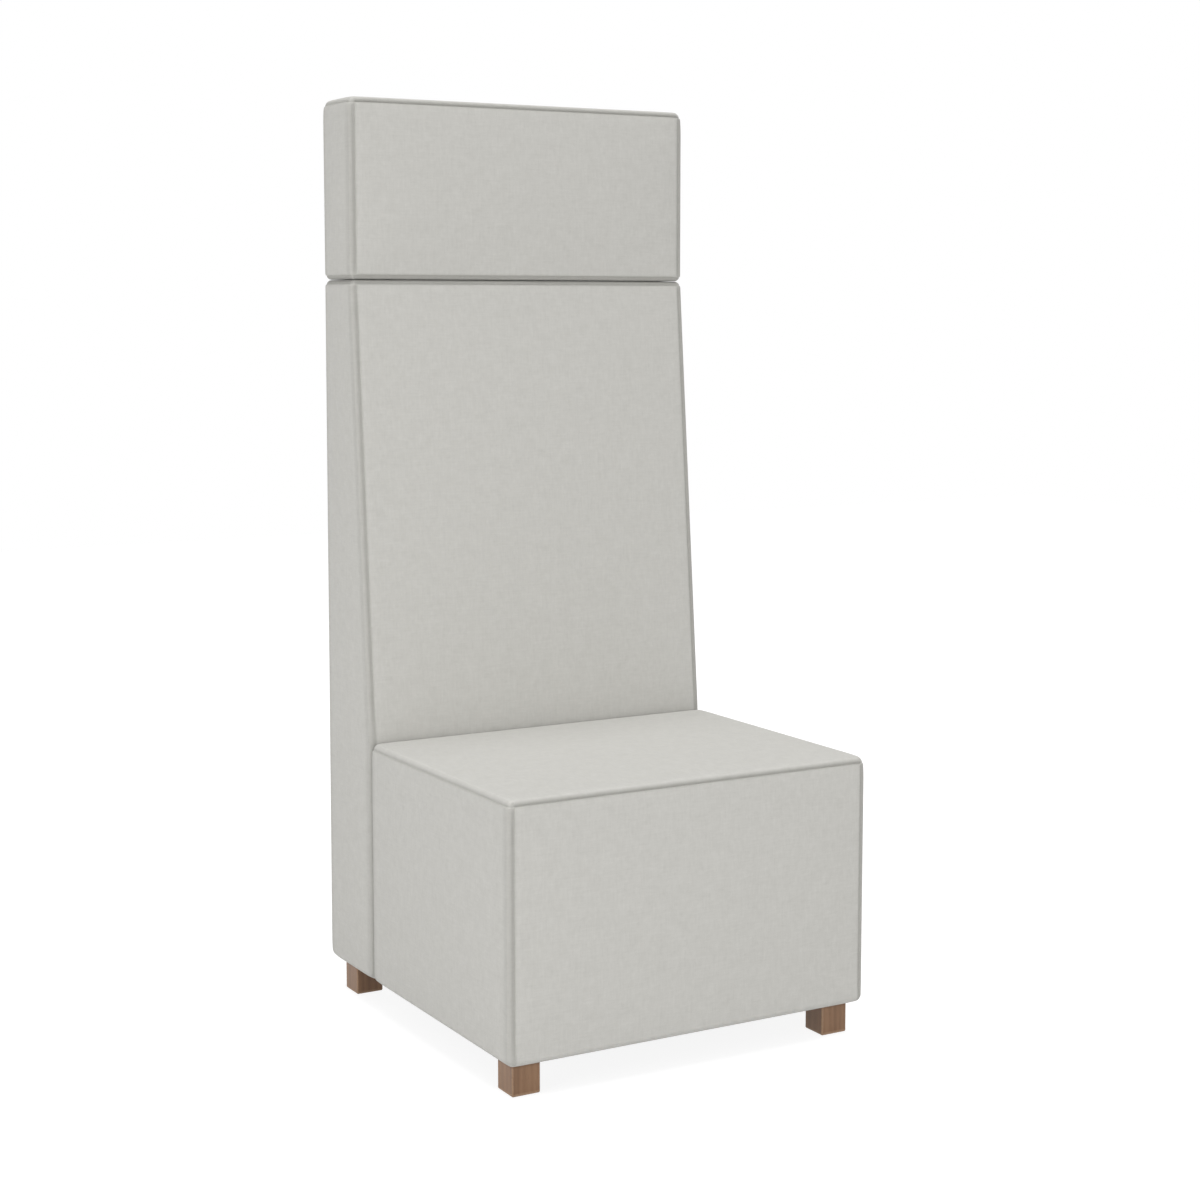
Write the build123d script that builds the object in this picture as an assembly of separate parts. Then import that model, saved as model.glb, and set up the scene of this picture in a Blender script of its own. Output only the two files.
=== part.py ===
from build123d import *
import math
import os

# Lounge chair of three upholstered blocks on four feet, in millimetres.
# The origin is on the floor in the middle of the footprint, +Z is up and the front faces -Y.

# Outer form
chair_width = 610.0
seat_depth = 466.7
back_depth = 167.7
top_depth = 109.5
headrest_inset = 3.0
headrest_height = 279.7
skirt_height = 51.0
seat_height = 432.0
back_height = 1149.7
module_gap = 0.6
edge_radius = 10.0
seat_crown = 5.0
back_crown = 5.0
headrest_crown = 5.0
bend_radius = 400.0

# Soft layers
cover_thickness = 2.0
cover_return = 45.0
pad_thickness = 8.0
rear_pad_thickness = 5.0
front_foam_thickness = 38.0
insulator_thickness = 3.0
dust_cover_thickness = 1.0
dust_cover_margin = 3.0
fit = 0.2

# Frames
panel_thickness = 18.0
front_board_thickness = 6.0
rear_board_thickness = 4.0
deck_height = 300.0
rail_height = 70.0
brace_height = 60.0
bar_rail_gap = 130.0
block_side = 60.0
block_height = 40.0

# Springs and clips
spring_count = 5
spring_spacing = 100.0
spring_runs = 18
spring_run_length = 26.0
wire_diameter = 3.6
clip_thickness = 1.2
clip_setback = 1.0
clip_margin = 2.0

# Headrest bars
bar_width = 40.0
bar_thickness = 6.0
bar_spacing = 300.0
bar_end = 8.0
slot_clearance = 1.0

# Fasteners
hole_clearance = 0.05
screw_length = 45.0
screw_diameter = 4.5
screw_head_diameter = 9.0
screw_head_height = 4.0
screw_edge = 20.0
screw_tip_cover = 4.0
bar_screw_diameter = 5.0
bar_screw_head_diameter = 10.0
bar_screw_head_height = 3.0
bolt_diameter = 8.0
bolt_head_diameter = 14.0
bolt_head_height = 5.5
bolt_tail = 4.0
joint_bolt_side = 95.0
joint_bolt_rise = 30.0
joint_bolt_drop = 50.0
washer_diameter = 24.0
washer_thickness = 2.0
nut_flange_diameter = 19.0
nut_flange_thickness = 1.5
nut_barrel_diameter = 10.5
nut_barrel_length = 12.0

# Feet
foot_side = 45.0
foot_chamfer = 1.5
foot_core = 6.0
nut_side_clearance = 0.6
nut_front_clearance = 7.1
nut_rear_clearance = 10.6
glide_diameter = 25.0
glide_thickness = 4.0
glide_stand = 1.0
glide_pin_diameter = 4.0
glide_pin_length = 10.0

# Places worked out from the sizes above
half_width = chair_width / 2
half_headrest = half_width - headrest_inset
chair_depth = seat_depth + module_gap + back_depth
front_y = -chair_depth / 2
rear_y = chair_depth / 2
seat_rear_y = front_y + seat_depth
back_front_y = seat_rear_y + module_gap
headrest_front_y = rear_y - top_depth
headrest_bottom = back_height + module_gap
chair_height = headrest_bottom + headrest_height
slope_run = back_depth - top_depth
slope_rise = back_height - seat_height
slope_angle = math.degrees(math.atan2(slope_run, slope_rise))

# Depths of the layers, from the outside of a cover inwards
skin = cover_thickness + fit
pad_skin = skin + pad_thickness + fit
rear_skin = skin + rear_pad_thickness + fit
front_skin = skin + front_foam_thickness + fit
frame_bottom = skirt_height + skin
side_face = half_width - pad_skin
side_inner = side_face - panel_thickness
seat_frame_front = front_y + pad_skin
seat_frame_rear = seat_rear_y - skin
base_front = back_front_y + skin
base_rear = base_front + panel_thickness
rear_board_front = rear_y - rear_skin - rear_board_thickness
back_frame_top = back_height - pad_skin
headrest_side_face = half_headrest - pad_skin
headrest_inner = headrest_side_face - panel_thickness
headrest_frame_low = headrest_bottom + pad_skin
headrest_frame_high = chair_height - pad_skin
rail_front = headrest_front_y + front_skin + front_board_thickness
rail_rear = rail_front + panel_thickness
top_rail_bottom = back_frame_top - rail_height
bar_rail_bottom = top_rail_bottom - bar_rail_gap - rail_height
lumbar_bottom = (seat_height + bar_rail_bottom - rail_height) / 2
headrest_rail_bottom = headrest_frame_high - rail_height
clip_radius = wire_diameter / 2 + fit + clip_thickness
insulator_bottom = deck_height + 2 * clip_radius + fit
foam_bottom = insulator_bottom + insulator_thickness + fit
foot_top = skirt_height - dust_cover_thickness
dust_cover_inset = edge_radius + dust_cover_margin
bottom_rail_front = rear_board_front - panel_thickness
nut_radius = nut_flange_diameter / 2
foot_x = side_inner - nut_radius - nut_side_clearance
foot_front_y = seat_frame_front + panel_thickness + nut_radius + nut_front_clearance
foot_rear_y = bottom_rail_front - nut_radius - nut_rear_clearance
glide_pin_end = glide_thickness + glide_pin_length
foot_bolt_end = glide_pin_end + foot_core
block_top = frame_bottom + block_height
block_screw_length = block_side + panel_thickness - screw_tip_cover
bar_screw_length = bar_thickness + panel_thickness - screw_tip_cover
joint_bolt_x = side_inner - joint_bolt_side
joint_bolt_heights = (block_top + joint_bolt_rise, deck_height - joint_bolt_drop)
clip_length = panel_thickness / 2 - clip_setback
clip_width = spring_run_length - clip_margin
far = 2 * chair_height


def span(x, y, z):
    # Box between two limits along each axis.
    middle = Pos(sum(x) / 2, sum(y) / 2, sum(z) / 2)
    return middle * Box(x[1] - x[0], y[1] - y[0], z[1] - z[0])


def wide(half, y, z):
    return span((-half, half), y, z)


def rod(start, end, diameter):
    run = Vector(*end) - Vector(*start)
    plane = Plane(origin=start, z_dir=run)
    return plane * Cylinder(diameter / 2, run.length, align=(Align.CENTER, Align.CENTER, Align.MIN))


def profile(points, half):
    # Solid of one outline in Y and Z, drawn across the chair.
    outline = Plane.YZ * make_face(Polyline(*points, close=True))
    return extrude(outline, half, both=True)


def group(shapes):
    return Compound(children=list(shapes))


def crown_ball(middle, tilt, half_across, half_along, crown, inset):
    # Large ball through a face's four corners that stands out by the crown in its middle.
    reach = math.hypot(half_across, half_along)
    radius = (reach**2 + crown**2) / (2 * crown)
    face = Pos(*middle) * Rot(tilt, 0, 0)
    return face * Pos(0, 0, crown - radius) * Rot(0, 90, 0) * Sphere(radius - inset)


def seat_block(inset):
    box = wide(
        half_width - inset,
        (front_y + inset, seat_rear_y - inset),
        (skirt_height + inset, seat_height + seat_crown),
    )
    middle = (0, (front_y + seat_rear_y) / 2, seat_height)
    solid = box & crown_ball(middle, 0, half_width, seat_depth / 2, seat_crown, inset)
    return fillet(solid.edges(), edge_radius - inset)


def back_outline():
    # Upright front up to the seat's top, then a slope that bows out by the crown.
    slope = math.radians(slope_angle)
    low = (back_front_y, seat_height)
    high = (back_front_y + slope_run, back_height)
    bow_y = back_front_y + slope_run / 2 - back_crown * math.cos(slope)
    bow_z = (seat_height + back_height) / 2 + back_crown * math.sin(slope)
    outline = make_face(
        [
            Line((rear_y, skirt_height), (back_front_y, skirt_height)),
            Line((back_front_y, skirt_height), low),
            ThreePointArc(low, (bow_y, bow_z), high),
            Line(high, (rear_y, back_height)),
            Line((rear_y, back_height), (rear_y, skirt_height)),
        ]
    )
    # The bend between them is eased.
    bend = outline.vertices().sort_by_distance((*low, 0))[0]
    return fillet(bend, bend_radius)


def back_block(inset):
    outline = back_outline()
    if inset:
        outline = offset(outline, -inset, kind=Kind.INTERSECTION)
    solid = extrude(Plane.YZ * outline, half_width - inset, both=True)
    # The smooth ends of the bend across the front stay as they are.
    ends = (skirt_height + edge_radius, back_height - edge_radius)
    rounded = [
        edge
        for edge in solid.edges()
        if abs(edge.center().X) > edge_radius or not ends[0] < edge.center().Z < ends[1]
    ]
    return fillet(rounded, edge_radius - inset)


def headrest_block(inset):
    box = wide(
        half_headrest - inset,
        (headrest_front_y - headrest_crown, rear_y - inset),
        (headrest_bottom + inset, chair_height - inset),
    )
    half_tall = (chair_height - headrest_bottom) / 2
    middle = (0, headrest_front_y, headrest_bottom + half_tall)
    solid = box & crown_ball(middle, 90, half_headrest, half_tall, headrest_crown, inset)
    return fillet(solid.edges(), edge_radius - inset)


# The space inside each cover, which its padding and frame fill
seat_inside = seat_block(skin)
back_inside = back_block(skin)
headrest_inside = headrest_block(skin)


def slope_front(depth):
    # Y as a function of height on the plane that lies inside the slope by a depth square to it.
    shift = depth / math.cos(math.radians(slope_angle))
    rate = slope_run / slope_rise
    return lambda z: back_front_y + shift + (z - seat_height) * rate


def in_front_of_slope(depth, low):
    # Everything in front of a plane inside the slope, above one height.
    line = slope_front(depth)
    front = back_front_y - back_crown
    high = back_height
    return profile([(front, low), (line(low), low), (line(high), high), (front, high)], far)


def bolt_points(y):
    return [(x, y, z) for x in (-joint_bolt_x, joint_bolt_x) for z in joint_bolt_heights]


def joint_holes():
    bore = bolt_diameter + 2 * hole_clearance
    start = seat_frame_rear - panel_thickness - washer_thickness
    end = base_rear + bolt_tail
    return [rod((x, start, z), (x, end, z), bore) for x, y, z in bolt_points(start)]


def joint_nut_holes():
    bore = nut_barrel_diameter + 2 * hole_clearance
    start = base_rear - nut_barrel_length
    return [rod((x, start, z), (x, base_rear, z), bore) for x, y, z in bolt_points(start)]


def foot_places():
    return [(x, y) for y in (foot_front_y, foot_rear_y) for x in (-foot_x, foot_x)]


def foot_holes(y):
    bore = bolt_diameter + 2 * hole_clearance
    return [rod((x, y, foot_bolt_end), (x, y, block_top), bore) for x in (-foot_x, foot_x)]


def foot_nut_holes(y):
    bore = nut_barrel_diameter + 2 * hole_clearance
    low = block_top - nut_barrel_length
    return [rod((x, y, low), (x, y, block_top), bore) for x in (-foot_x, foot_x)]


def screw(point, direction, length, slack):
    # Countersunk screw whose head lies flush at the point.
    align = (Align.CENTER, Align.CENTER, Align.MIN)
    head = Cone(screw_head_diameter / 2 + slack, screw_diameter / 2 + slack, screw_head_height, align=align)
    shank = Cylinder(screw_diameter / 2 + slack, length, align=align)
    return Plane(origin=point, z_dir=direction) * (head + shank)


def screws(places, length, slack=0.0):
    return [screw(point, direction, length, slack) for point, direction in places]


def side_places(face, spots):
    # Screws that go in through both side panels at spots of (y, z).
    return [((side * face, y, z), (-side, 0, 0)) for side in (-1, 1) for y, z in spots]


def rail_spots(y, bottom):
    return [(y, bottom + screw_edge), (y, bottom + rail_height - screw_edge)]


def seat_screw_places():
    heights = (frame_bottom + screw_edge, (frame_bottom + deck_height) / 2, deck_height - screw_edge)
    rows = (seat_frame_front + panel_thickness / 2, seat_frame_rear - panel_thickness / 2)
    return side_places(side_face, [(y, z) for y in rows for z in heights])


def back_screw_places():
    middle = (rail_front + rail_rear) / 2
    spots = rail_spots(middle, top_rail_bottom)
    spots += rail_spots(middle, bar_rail_bottom)
    spots += rail_spots(lumbar_front() + panel_thickness / 2, lumbar_bottom)
    spots += rail_spots(bottom_rail_front + panel_thickness / 2, frame_bottom)
    return side_places(side_face, spots)


def base_screw_places():
    heights = (frame_bottom + screw_edge, (frame_bottom + seat_height) / 2, seat_height - screw_edge)
    x = side_face - panel_thickness / 2
    return [((side * x, base_front, z), (0, 1, 0)) for side in (-1, 1) for z in heights]


def headrest_screw_places():
    middle = (rail_front + rail_rear) / 2
    spots = rail_spots(middle, headrest_frame_low)
    spots += rail_spots(middle, headrest_rail_bottom)
    return side_places(headrest_side_face, spots)


def block_places(side, corner_y, inward):
    # One screw of a corner block goes into the side panel and, above it, one into the panel across the chair.
    low = frame_bottom + block_height / 3
    high = frame_bottom + block_height * 2 / 3
    reach = block_side - screw_edge
    return [
        ((side * (side_inner - block_side), corner_y + inward * reach, low), (side, 0, 0)),
        ((side * (side_inner - reach), corner_y + inward * block_side, high), (0, -inward, 0)),
    ]


def block_screw_places(corner_y, inward):
    return [place for side in (-1, 1) for place in block_places(side, corner_y, inward)]


def front_block_screws():
    return block_screw_places(seat_frame_front + panel_thickness, 1)


def seat_rear_block_screws():
    return block_screw_places(seat_frame_rear - panel_thickness, -1)


def rear_block_screws():
    return block_screw_places(bottom_rail_front, -1)


def bar_boxes(slack):
    # The two flat bars, or the slots that they pass through.
    low = bar_rail_bottom + bar_end
    high = headrest_frame_high - bar_end
    return [
        span(
            (x - bar_width / 2 - slack, x + bar_width / 2 + slack),
            (rail_rear - slack, rail_rear + bar_thickness + slack),
            (low, high),
        )
        for x in (-bar_spacing / 2, bar_spacing / 2)
    ]


def bar_screw_spots():
    bottoms = (bar_rail_bottom, top_rail_bottom, headrest_frame_low, headrest_rail_bottom)
    heights = [z for bottom in bottoms for _, z in rail_spots(0, bottom)]
    return [(x, z) for x in (-bar_spacing / 2, bar_spacing / 2) for z in heights]


def bar_screw_shanks(slack=0.0):
    start = rail_rear + bar_thickness
    end = start - bar_screw_length
    return [
        rod((x, start, z), (x, end, z), bar_screw_diameter + 2 * slack)
        for x, z in bar_screw_spots()
    ]


def lumbar_front():
    # The rail's upper front edge comes up to the front board.
    return slope_front(front_skin + front_board_thickness)(lumbar_bottom + rail_height) + fit


def seat_cover():
    opening = wide(
        half_width - cover_return,
        (front_y + cover_return, seat_rear_y - cover_return),
        (0, frame_bottom),
    )
    shell = seat_block(0) - seat_block(cover_thickness) - opening
    return shell - joint_holes() - foot_holes(foot_front_y)


def seat_foam():
    return seat_inside & wide(far, (-far, far), (foam_bottom, chair_height))


def seat_front_pad():
    region = wide(far, (front_y, seat_frame_front - fit), (0, foam_bottom - fit))
    return seat_inside & region


def seat_side_pad(side):
    x = sorted((side * (side_face + fit), side * far))
    return seat_inside & span(x, (seat_frame_front, rear_y), (0, foam_bottom - fit))


def seat_side_panel(side):
    x = sorted((side * side_inner, side * side_face))
    panel = span(x, (seat_frame_front, seat_frame_rear), (frame_bottom, deck_height))
    holes = screws(seat_screw_places(), screw_length, hole_clearance)
    holes += screws(front_block_screws() + seat_rear_block_screws(), block_screw_length, hole_clearance)
    return (panel & seat_inside) - holes


def seat_front_panel():
    y = (seat_frame_front, seat_frame_front + panel_thickness)
    panel = wide(side_inner, y, (frame_bottom, deck_height))
    holes = screws(seat_screw_places(), screw_length, hole_clearance)
    return panel - holes - screws(front_block_screws(), block_screw_length, hole_clearance)


def seat_rear_panel():
    y = (seat_frame_rear - panel_thickness, seat_frame_rear)
    panel = wide(side_inner, y, (frame_bottom, deck_height))
    holes = screws(seat_screw_places(), screw_length, hole_clearance)
    holes += screws(seat_rear_block_screws(), block_screw_length, hole_clearance)
    return (panel & seat_inside) - holes - joint_holes()


def seat_cross_brace():
    y = (seat_frame_front + panel_thickness, seat_frame_rear - panel_thickness)
    return wide(panel_thickness / 2, y, (frame_bottom, frame_bottom + brace_height))


def corner_blocks(corner_y, inward, holes):
    y = sorted((corner_y, corner_y + inward * block_side))
    z = (frame_bottom, block_top)
    pair = [span(sorted((side * side_inner, side * (side_inner - block_side))), y, z) for side in (-1, 1)]
    return group(block - holes for block in pair)


def front_foot_blocks():
    holes = screws(front_block_screws(), block_screw_length, hole_clearance)
    holes += foot_holes(foot_front_y) + foot_nut_holes(foot_front_y)
    return corner_blocks(seat_frame_front + panel_thickness, 1, holes)


def seat_rear_blocks():
    holes = screws(seat_rear_block_screws(), block_screw_length, hole_clearance)
    return corner_blocks(seat_frame_rear - panel_thickness, -1, holes)


def rear_foot_blocks():
    holes = screws(rear_block_screws(), block_screw_length, hole_clearance)
    holes += foot_holes(foot_rear_y) + foot_nut_holes(foot_rear_y)
    return corner_blocks(bottom_rail_front, -1, holes)


def spring_places():
    first = -(spring_count - 1) / 2 * spring_spacing
    return [first + index * spring_spacing for index in range(spring_count)]


def spring_ends():
    return (seat_frame_front + panel_thickness / 2, seat_frame_rear - panel_thickness / 2)


def seat_spring():
    # Flat zigzag wire: straight runs across, joined by half turns on alternate sides.
    start, end = spring_ends()
    pitch = (end - start) / (spring_runs - 1)
    turn = pitch / 2
    reach = spring_run_length / 2
    z = deck_height + clip_radius
    path = []
    for run in range(spring_runs):
        y = start + run * pitch
        side = 1 if run % 2 == 0 else -1
        path.append(Line((-side * reach, y, z), (side * reach, y, z)))
        if run < spring_runs - 1:
            top = (side * (reach + turn), y + turn, z)
            path.append(ThreePointArc((side * reach, y, z), top, (side * reach, y + pitch, z)))
    section = Plane(origin=(-reach, start, z), z_dir=(1, 0, 0)) * Circle(wire_diameter / 2)
    return sweep(section, path=Wire([part for piece in path for part in piece.edges()]))


def seat_springs():
    spring = seat_spring()
    return group(Pos(x, 0, 0) * spring for x in spring_places())


def spring_clip(x, y, outward):
    # U-shaped strap round the end run of a spring, open to the outside of the frame.
    inner = clip_radius - clip_thickness
    outer_face = Circle(clip_radius) + Pos(clip_length / 2, 0) * Rectangle(clip_length, 2 * clip_radius)
    inner_face = Circle(inner) + Pos(clip_length / 2, 0) * Rectangle(clip_length, 2 * inner)
    plane = Plane(origin=(x, y, deck_height + clip_radius), x_dir=(0, outward, 0), z_dir=(1, 0, 0))
    return extrude(plane * (outer_face - inner_face), clip_width / 2, both=True)


def spring_clips():
    ends = zip(spring_ends(), (-1, 1))
    return group(spring_clip(x, y, outward) for y, outward in ends for x in spring_places())


def spring_insulator():
    y = (seat_frame_front, seat_frame_rear)
    return wide(side_face, y, (insulator_bottom, insulator_bottom + insulator_thickness))


def seat_dust_cover():
    y = (front_y + dust_cover_inset, seat_rear_y - dust_cover_inset)
    sheet = wide(half_width - dust_cover_inset, y, (foot_top, skirt_height))
    return sheet - foot_holes(foot_front_y)


def seat_frame_screws():
    return group(screws(seat_screw_places(), screw_length))


def block_screws():
    places = front_block_screws() + seat_rear_block_screws() + rear_block_screws()
    return group(screws(places, block_screw_length))


def back_cover():
    opening = wide(
        half_width - cover_return,
        (back_front_y + cover_return, rear_y - cover_return),
        (0, frame_bottom),
    )
    shell = back_block(0) - back_block(cover_thickness) - opening
    return shell - joint_holes() - foot_holes(foot_rear_y) - bar_boxes(slot_clearance)


def back_foam():
    region = in_front_of_slope(front_skin - fit, seat_height)
    return back_inside & region & wide(far, (-far, far), (0, back_frame_top))


def back_rear_pad():
    return back_inside & wide(far, (rear_y - rear_skin + fit, rear_y), (0, back_height))


def back_top_pad():
    region = wide(far, (-far, rear_y - rear_skin), (back_frame_top + fit, back_height))
    return back_inside & region - bar_boxes(slot_clearance)


def back_side_pad(side):
    x = sorted((side * (side_face + fit), side * far))
    slab = back_inside & span(x, (-far, rear_y - rear_skin), (0, back_frame_top))
    return slab - in_front_of_slope(front_skin, seat_height - fit)


def back_side_panel(side):
    line = slope_front(front_skin + front_board_thickness)
    outline = [
        (rear_board_front, frame_bottom),
        (base_rear, frame_bottom),
        (base_rear, seat_height),
        (line(seat_height), seat_height),
        (line(back_frame_top), back_frame_top),
        (rear_board_front, back_frame_top),
    ]
    x = sorted((side * side_inner, side * side_face))
    panel = profile(outline, far) & span(x, (-far, far), (0, far))
    holes = screws(back_screw_places() + base_screw_places(), screw_length, hole_clearance)
    return panel - holes - screws(rear_block_screws(), block_screw_length, hole_clearance)


def back_base_board():
    board = wide(side_face, (base_front, base_rear), (frame_bottom, seat_height - fit))
    holes = screws(base_screw_places(), screw_length, hole_clearance)
    return (board & back_inside) - holes - joint_holes() - joint_nut_holes()


def back_front_board():
    front = slope_front(front_skin)
    rear = slope_front(front_skin + front_board_thickness)
    low, high = seat_height, back_frame_top
    outline = [(front(low), low), (rear(low), low), (rear(high), high), (front(high), high)]
    return profile(outline, side_face)


def back_rear_board():
    y = (rear_board_front, rear_board_front + rear_board_thickness)
    return wide(side_face, y, (frame_bottom, back_frame_top)) & back_inside


def cross_rail(half, front, bottom, places):
    rail = wide(half, (front, front + panel_thickness), (bottom, bottom + rail_height))
    return rail - screws(places, screw_length, hole_clearance)


def back_top_rail():
    rail = cross_rail(side_inner, rail_front, top_rail_bottom, back_screw_places())
    return rail - bar_screw_shanks(hole_clearance)


def back_bar_rail():
    rail = cross_rail(side_inner, rail_front, bar_rail_bottom, back_screw_places())
    return rail - bar_screw_shanks(hole_clearance)


def back_lumbar_rail():
    return cross_rail(side_inner, lumbar_front(), lumbar_bottom, back_screw_places())


def back_bottom_rail():
    rail = cross_rail(side_inner, bottom_rail_front, frame_bottom, back_screw_places())
    return rail - screws(rear_block_screws(), block_screw_length, hole_clearance)


def back_frame_screws():
    return group(screws(back_screw_places() + base_screw_places(), screw_length))


def back_dust_cover():
    y = (back_front_y + dust_cover_inset, rear_y - dust_cover_inset)
    sheet = wide(half_width - dust_cover_inset, y, (foot_top, skirt_height))
    return sheet - foot_holes(foot_rear_y)


def headrest_cover():
    return headrest_block(0) - headrest_block(cover_thickness) - bar_boxes(slot_clearance)


def headrest_foam():
    region = wide(far, (-far, headrest_front_y + front_skin - fit), (0, chair_height))
    return headrest_inside & region


def headrest_rear_pad():
    return headrest_inside & wide(far, (rear_y - rear_skin + fit, rear_y), (0, chair_height))


def headrest_edge_pad():
    y = (headrest_front_y + front_skin, rear_y - rear_skin)
    core = wide(
        headrest_side_face + fit,
        y,
        (headrest_frame_low - fit, headrest_frame_high + fit),
    )
    ring = headrest_inside & wide(far, y, (0, chair_height))
    return ring - core - bar_boxes(slot_clearance)


def headrest_side_panel(side):
    x = sorted((side * headrest_inner, side * headrest_side_face))
    panel = span(x, (rail_front, rear_board_front), (headrest_frame_low, headrest_frame_high))
    return panel - screws(headrest_screw_places(), screw_length, hole_clearance)


def headrest_top_rail():
    rail = cross_rail(headrest_inner, rail_front, headrest_rail_bottom, headrest_screw_places())
    return rail - bar_screw_shanks(hole_clearance)


def headrest_bottom_rail():
    rail = cross_rail(headrest_inner, rail_front, headrest_frame_low, headrest_screw_places())
    return rail - bar_screw_shanks(hole_clearance)


def headrest_front_board():
    y = (rail_front - front_board_thickness, rail_front)
    return wide(headrest_side_face, y, (headrest_frame_low, headrest_frame_high))


def headrest_rear_board():
    y = (rear_board_front, rear_board_front + rear_board_thickness)
    return wide(headrest_side_face, y, (headrest_frame_low, headrest_frame_high))


def headrest_frame_screws():
    return group(screws(headrest_screw_places(), screw_length))


def headrest_bars():
    holes = bar_screw_shanks(hole_clearance)
    return group(bar - holes for bar in bar_boxes(0))


def bar_screws():
    face = rail_rear + bar_thickness
    heads = [
        rod((x, face, z), (x, face + bar_screw_head_height, z), bar_screw_head_diameter)
        for x, z in bar_screw_spots()
    ]
    return group(shank + head for shank, head in zip(bar_screw_shanks(), heads))


def joint_bolts():
    # Hexagon head bolts from inside the seat into the back's base board.
    head_rear = seat_frame_rear - panel_thickness - washer_thickness
    head_front = head_rear - bolt_head_height
    bolts = []
    for x, y, z in bolt_points(head_rear):
        shank = rod((x, head_rear, z), (x, base_rear + bolt_tail, z), bolt_diameter)
        plane = Plane(origin=(x, head_front, z), z_dir=(0, 1, 0))
        bolts.append(shank + extrude(plane * RegularPolygon(bolt_head_diameter / 2, 6), bolt_head_height))
    return group(bolts)


def joint_washers():
    face = seat_frame_rear - panel_thickness
    washers = []
    for x, y, z in bolt_points(face):
        disc = rod((x, face - washer_thickness, z), (x, face, z), washer_diameter)
        washers.append(disc - joint_holes())
    return group(washers)


def t_nut(face, inward):
    # Flanged nut whose barrel goes into the wood behind a face; the bore runs through both.
    flange_end = Vector(*face) - inward * nut_flange_thickness
    barrel_end = Vector(*face) + inward * nut_barrel_length
    body = rod(face, flange_end, nut_flange_diameter) + rod(face, barrel_end, nut_barrel_diameter)
    return body - rod(flange_end, barrel_end, bolt_diameter + 2 * hole_clearance)


def joint_t_nuts():
    return group(t_nut(point, Vector(0, -1, 0)) for point in bolt_points(base_rear))


def foot_t_nuts():
    return group(t_nut((x, y, block_top), Vector(0, 0, -1)) for x, y in foot_places())


def hanger_bolts():
    return group(rod((x, y, foot_bolt_end), (x, y, block_top), bolt_diameter) for x, y in foot_places())


def foot(x, y):
    half = foot_side / 2
    block = span((x - half, x + half), (y - half, y + half), (glide_stand, foot_top))
    lower = block.faces().sort_by(Axis.Z)[0].edges()
    block = chamfer(block.edges().filter_by(Axis.Z) + lower, foot_chamfer)
    recess = rod((x, y, 0), (x, y, glide_thickness), glide_diameter + 2 * fit)
    pin = rod((x, y, 0), (x, y, glide_pin_end), glide_pin_diameter + 2 * hole_clearance)
    return block - recess - pin - foot_holes(y)


def foot_glides():
    glides = []
    for x, y in foot_places():
        disc = rod((x, y, 0), (x, y, glide_thickness), glide_diameter)
        glides.append(disc + rod((x, y, glide_thickness), (x, y, glide_pin_end), glide_pin_diameter))
    return group(glides)


parts = {
    "seat_cover": seat_cover(),
    "seat_foam": seat_foam(),
    "seat_front_pad": seat_front_pad(),
    "seat_left_pad": seat_side_pad(1),
    "seat_right_pad": seat_side_pad(-1),
    "seat_left_panel": seat_side_panel(1),
    "seat_right_panel": seat_side_panel(-1),
    "seat_front_panel": seat_front_panel(),
    "seat_rear_panel": seat_rear_panel(),
    "seat_cross_brace": seat_cross_brace(),
    "front_foot_blocks": front_foot_blocks(),
    "seat_rear_blocks": seat_rear_blocks(),
    "seat_springs": seat_springs(),
    "spring_clips": spring_clips(),
    "spring_insulator": spring_insulator(),
    "seat_dust_cover": seat_dust_cover(),
    "seat_frame_screws": seat_frame_screws(),
    "back_cover": back_cover(),
    "back_foam": back_foam(),
    "back_left_pad": back_side_pad(1),
    "back_right_pad": back_side_pad(-1),
    "back_rear_pad": back_rear_pad(),
    "back_top_pad": back_top_pad(),
    "back_left_panel": back_side_panel(1),
    "back_right_panel": back_side_panel(-1),
    "back_base_board": back_base_board(),
    "back_front_board": back_front_board(),
    "back_rear_board": back_rear_board(),
    "back_top_rail": back_top_rail(),
    "back_bar_rail": back_bar_rail(),
    "back_lumbar_rail": back_lumbar_rail(),
    "back_bottom_rail": back_bottom_rail(),
    "rear_foot_blocks": rear_foot_blocks(),
    "back_dust_cover": back_dust_cover(),
    "back_frame_screws": back_frame_screws(),
    "headrest_cover": headrest_cover(),
    "headrest_foam": headrest_foam(),
    "headrest_rear_pad": headrest_rear_pad(),
    "headrest_edge_pad": headrest_edge_pad(),
    "headrest_left_panel": headrest_side_panel(1),
    "headrest_right_panel": headrest_side_panel(-1),
    "headrest_top_rail": headrest_top_rail(),
    "headrest_bottom_rail": headrest_bottom_rail(),
    "headrest_front_board": headrest_front_board(),
    "headrest_rear_board": headrest_rear_board(),
    "headrest_frame_screws": headrest_frame_screws(),
    "headrest_bars": headrest_bars(),
    "bar_screws": bar_screws(),
    "joint_bolts": joint_bolts(),
    "joint_washers": joint_washers(),
    "joint_t_nuts": joint_t_nuts(),
    "foot_front_left": foot(foot_x, foot_front_y),
    "foot_front_right": foot(-foot_x, foot_front_y),
    "foot_rear_left": foot(foot_x, foot_rear_y),
    "foot_rear_right": foot(-foot_x, foot_rear_y),
    "hanger_bolts": hanger_bolts(),
    "foot_t_nuts": foot_t_nuts(),
    "foot_glides": foot_glides(),
    "block_screws": block_screws(),
}

os.makedirs("parts", exist_ok=True)
for name, shape in parts.items():
    export_step(shape, f"parts/{name}.step")
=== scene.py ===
import math

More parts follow.
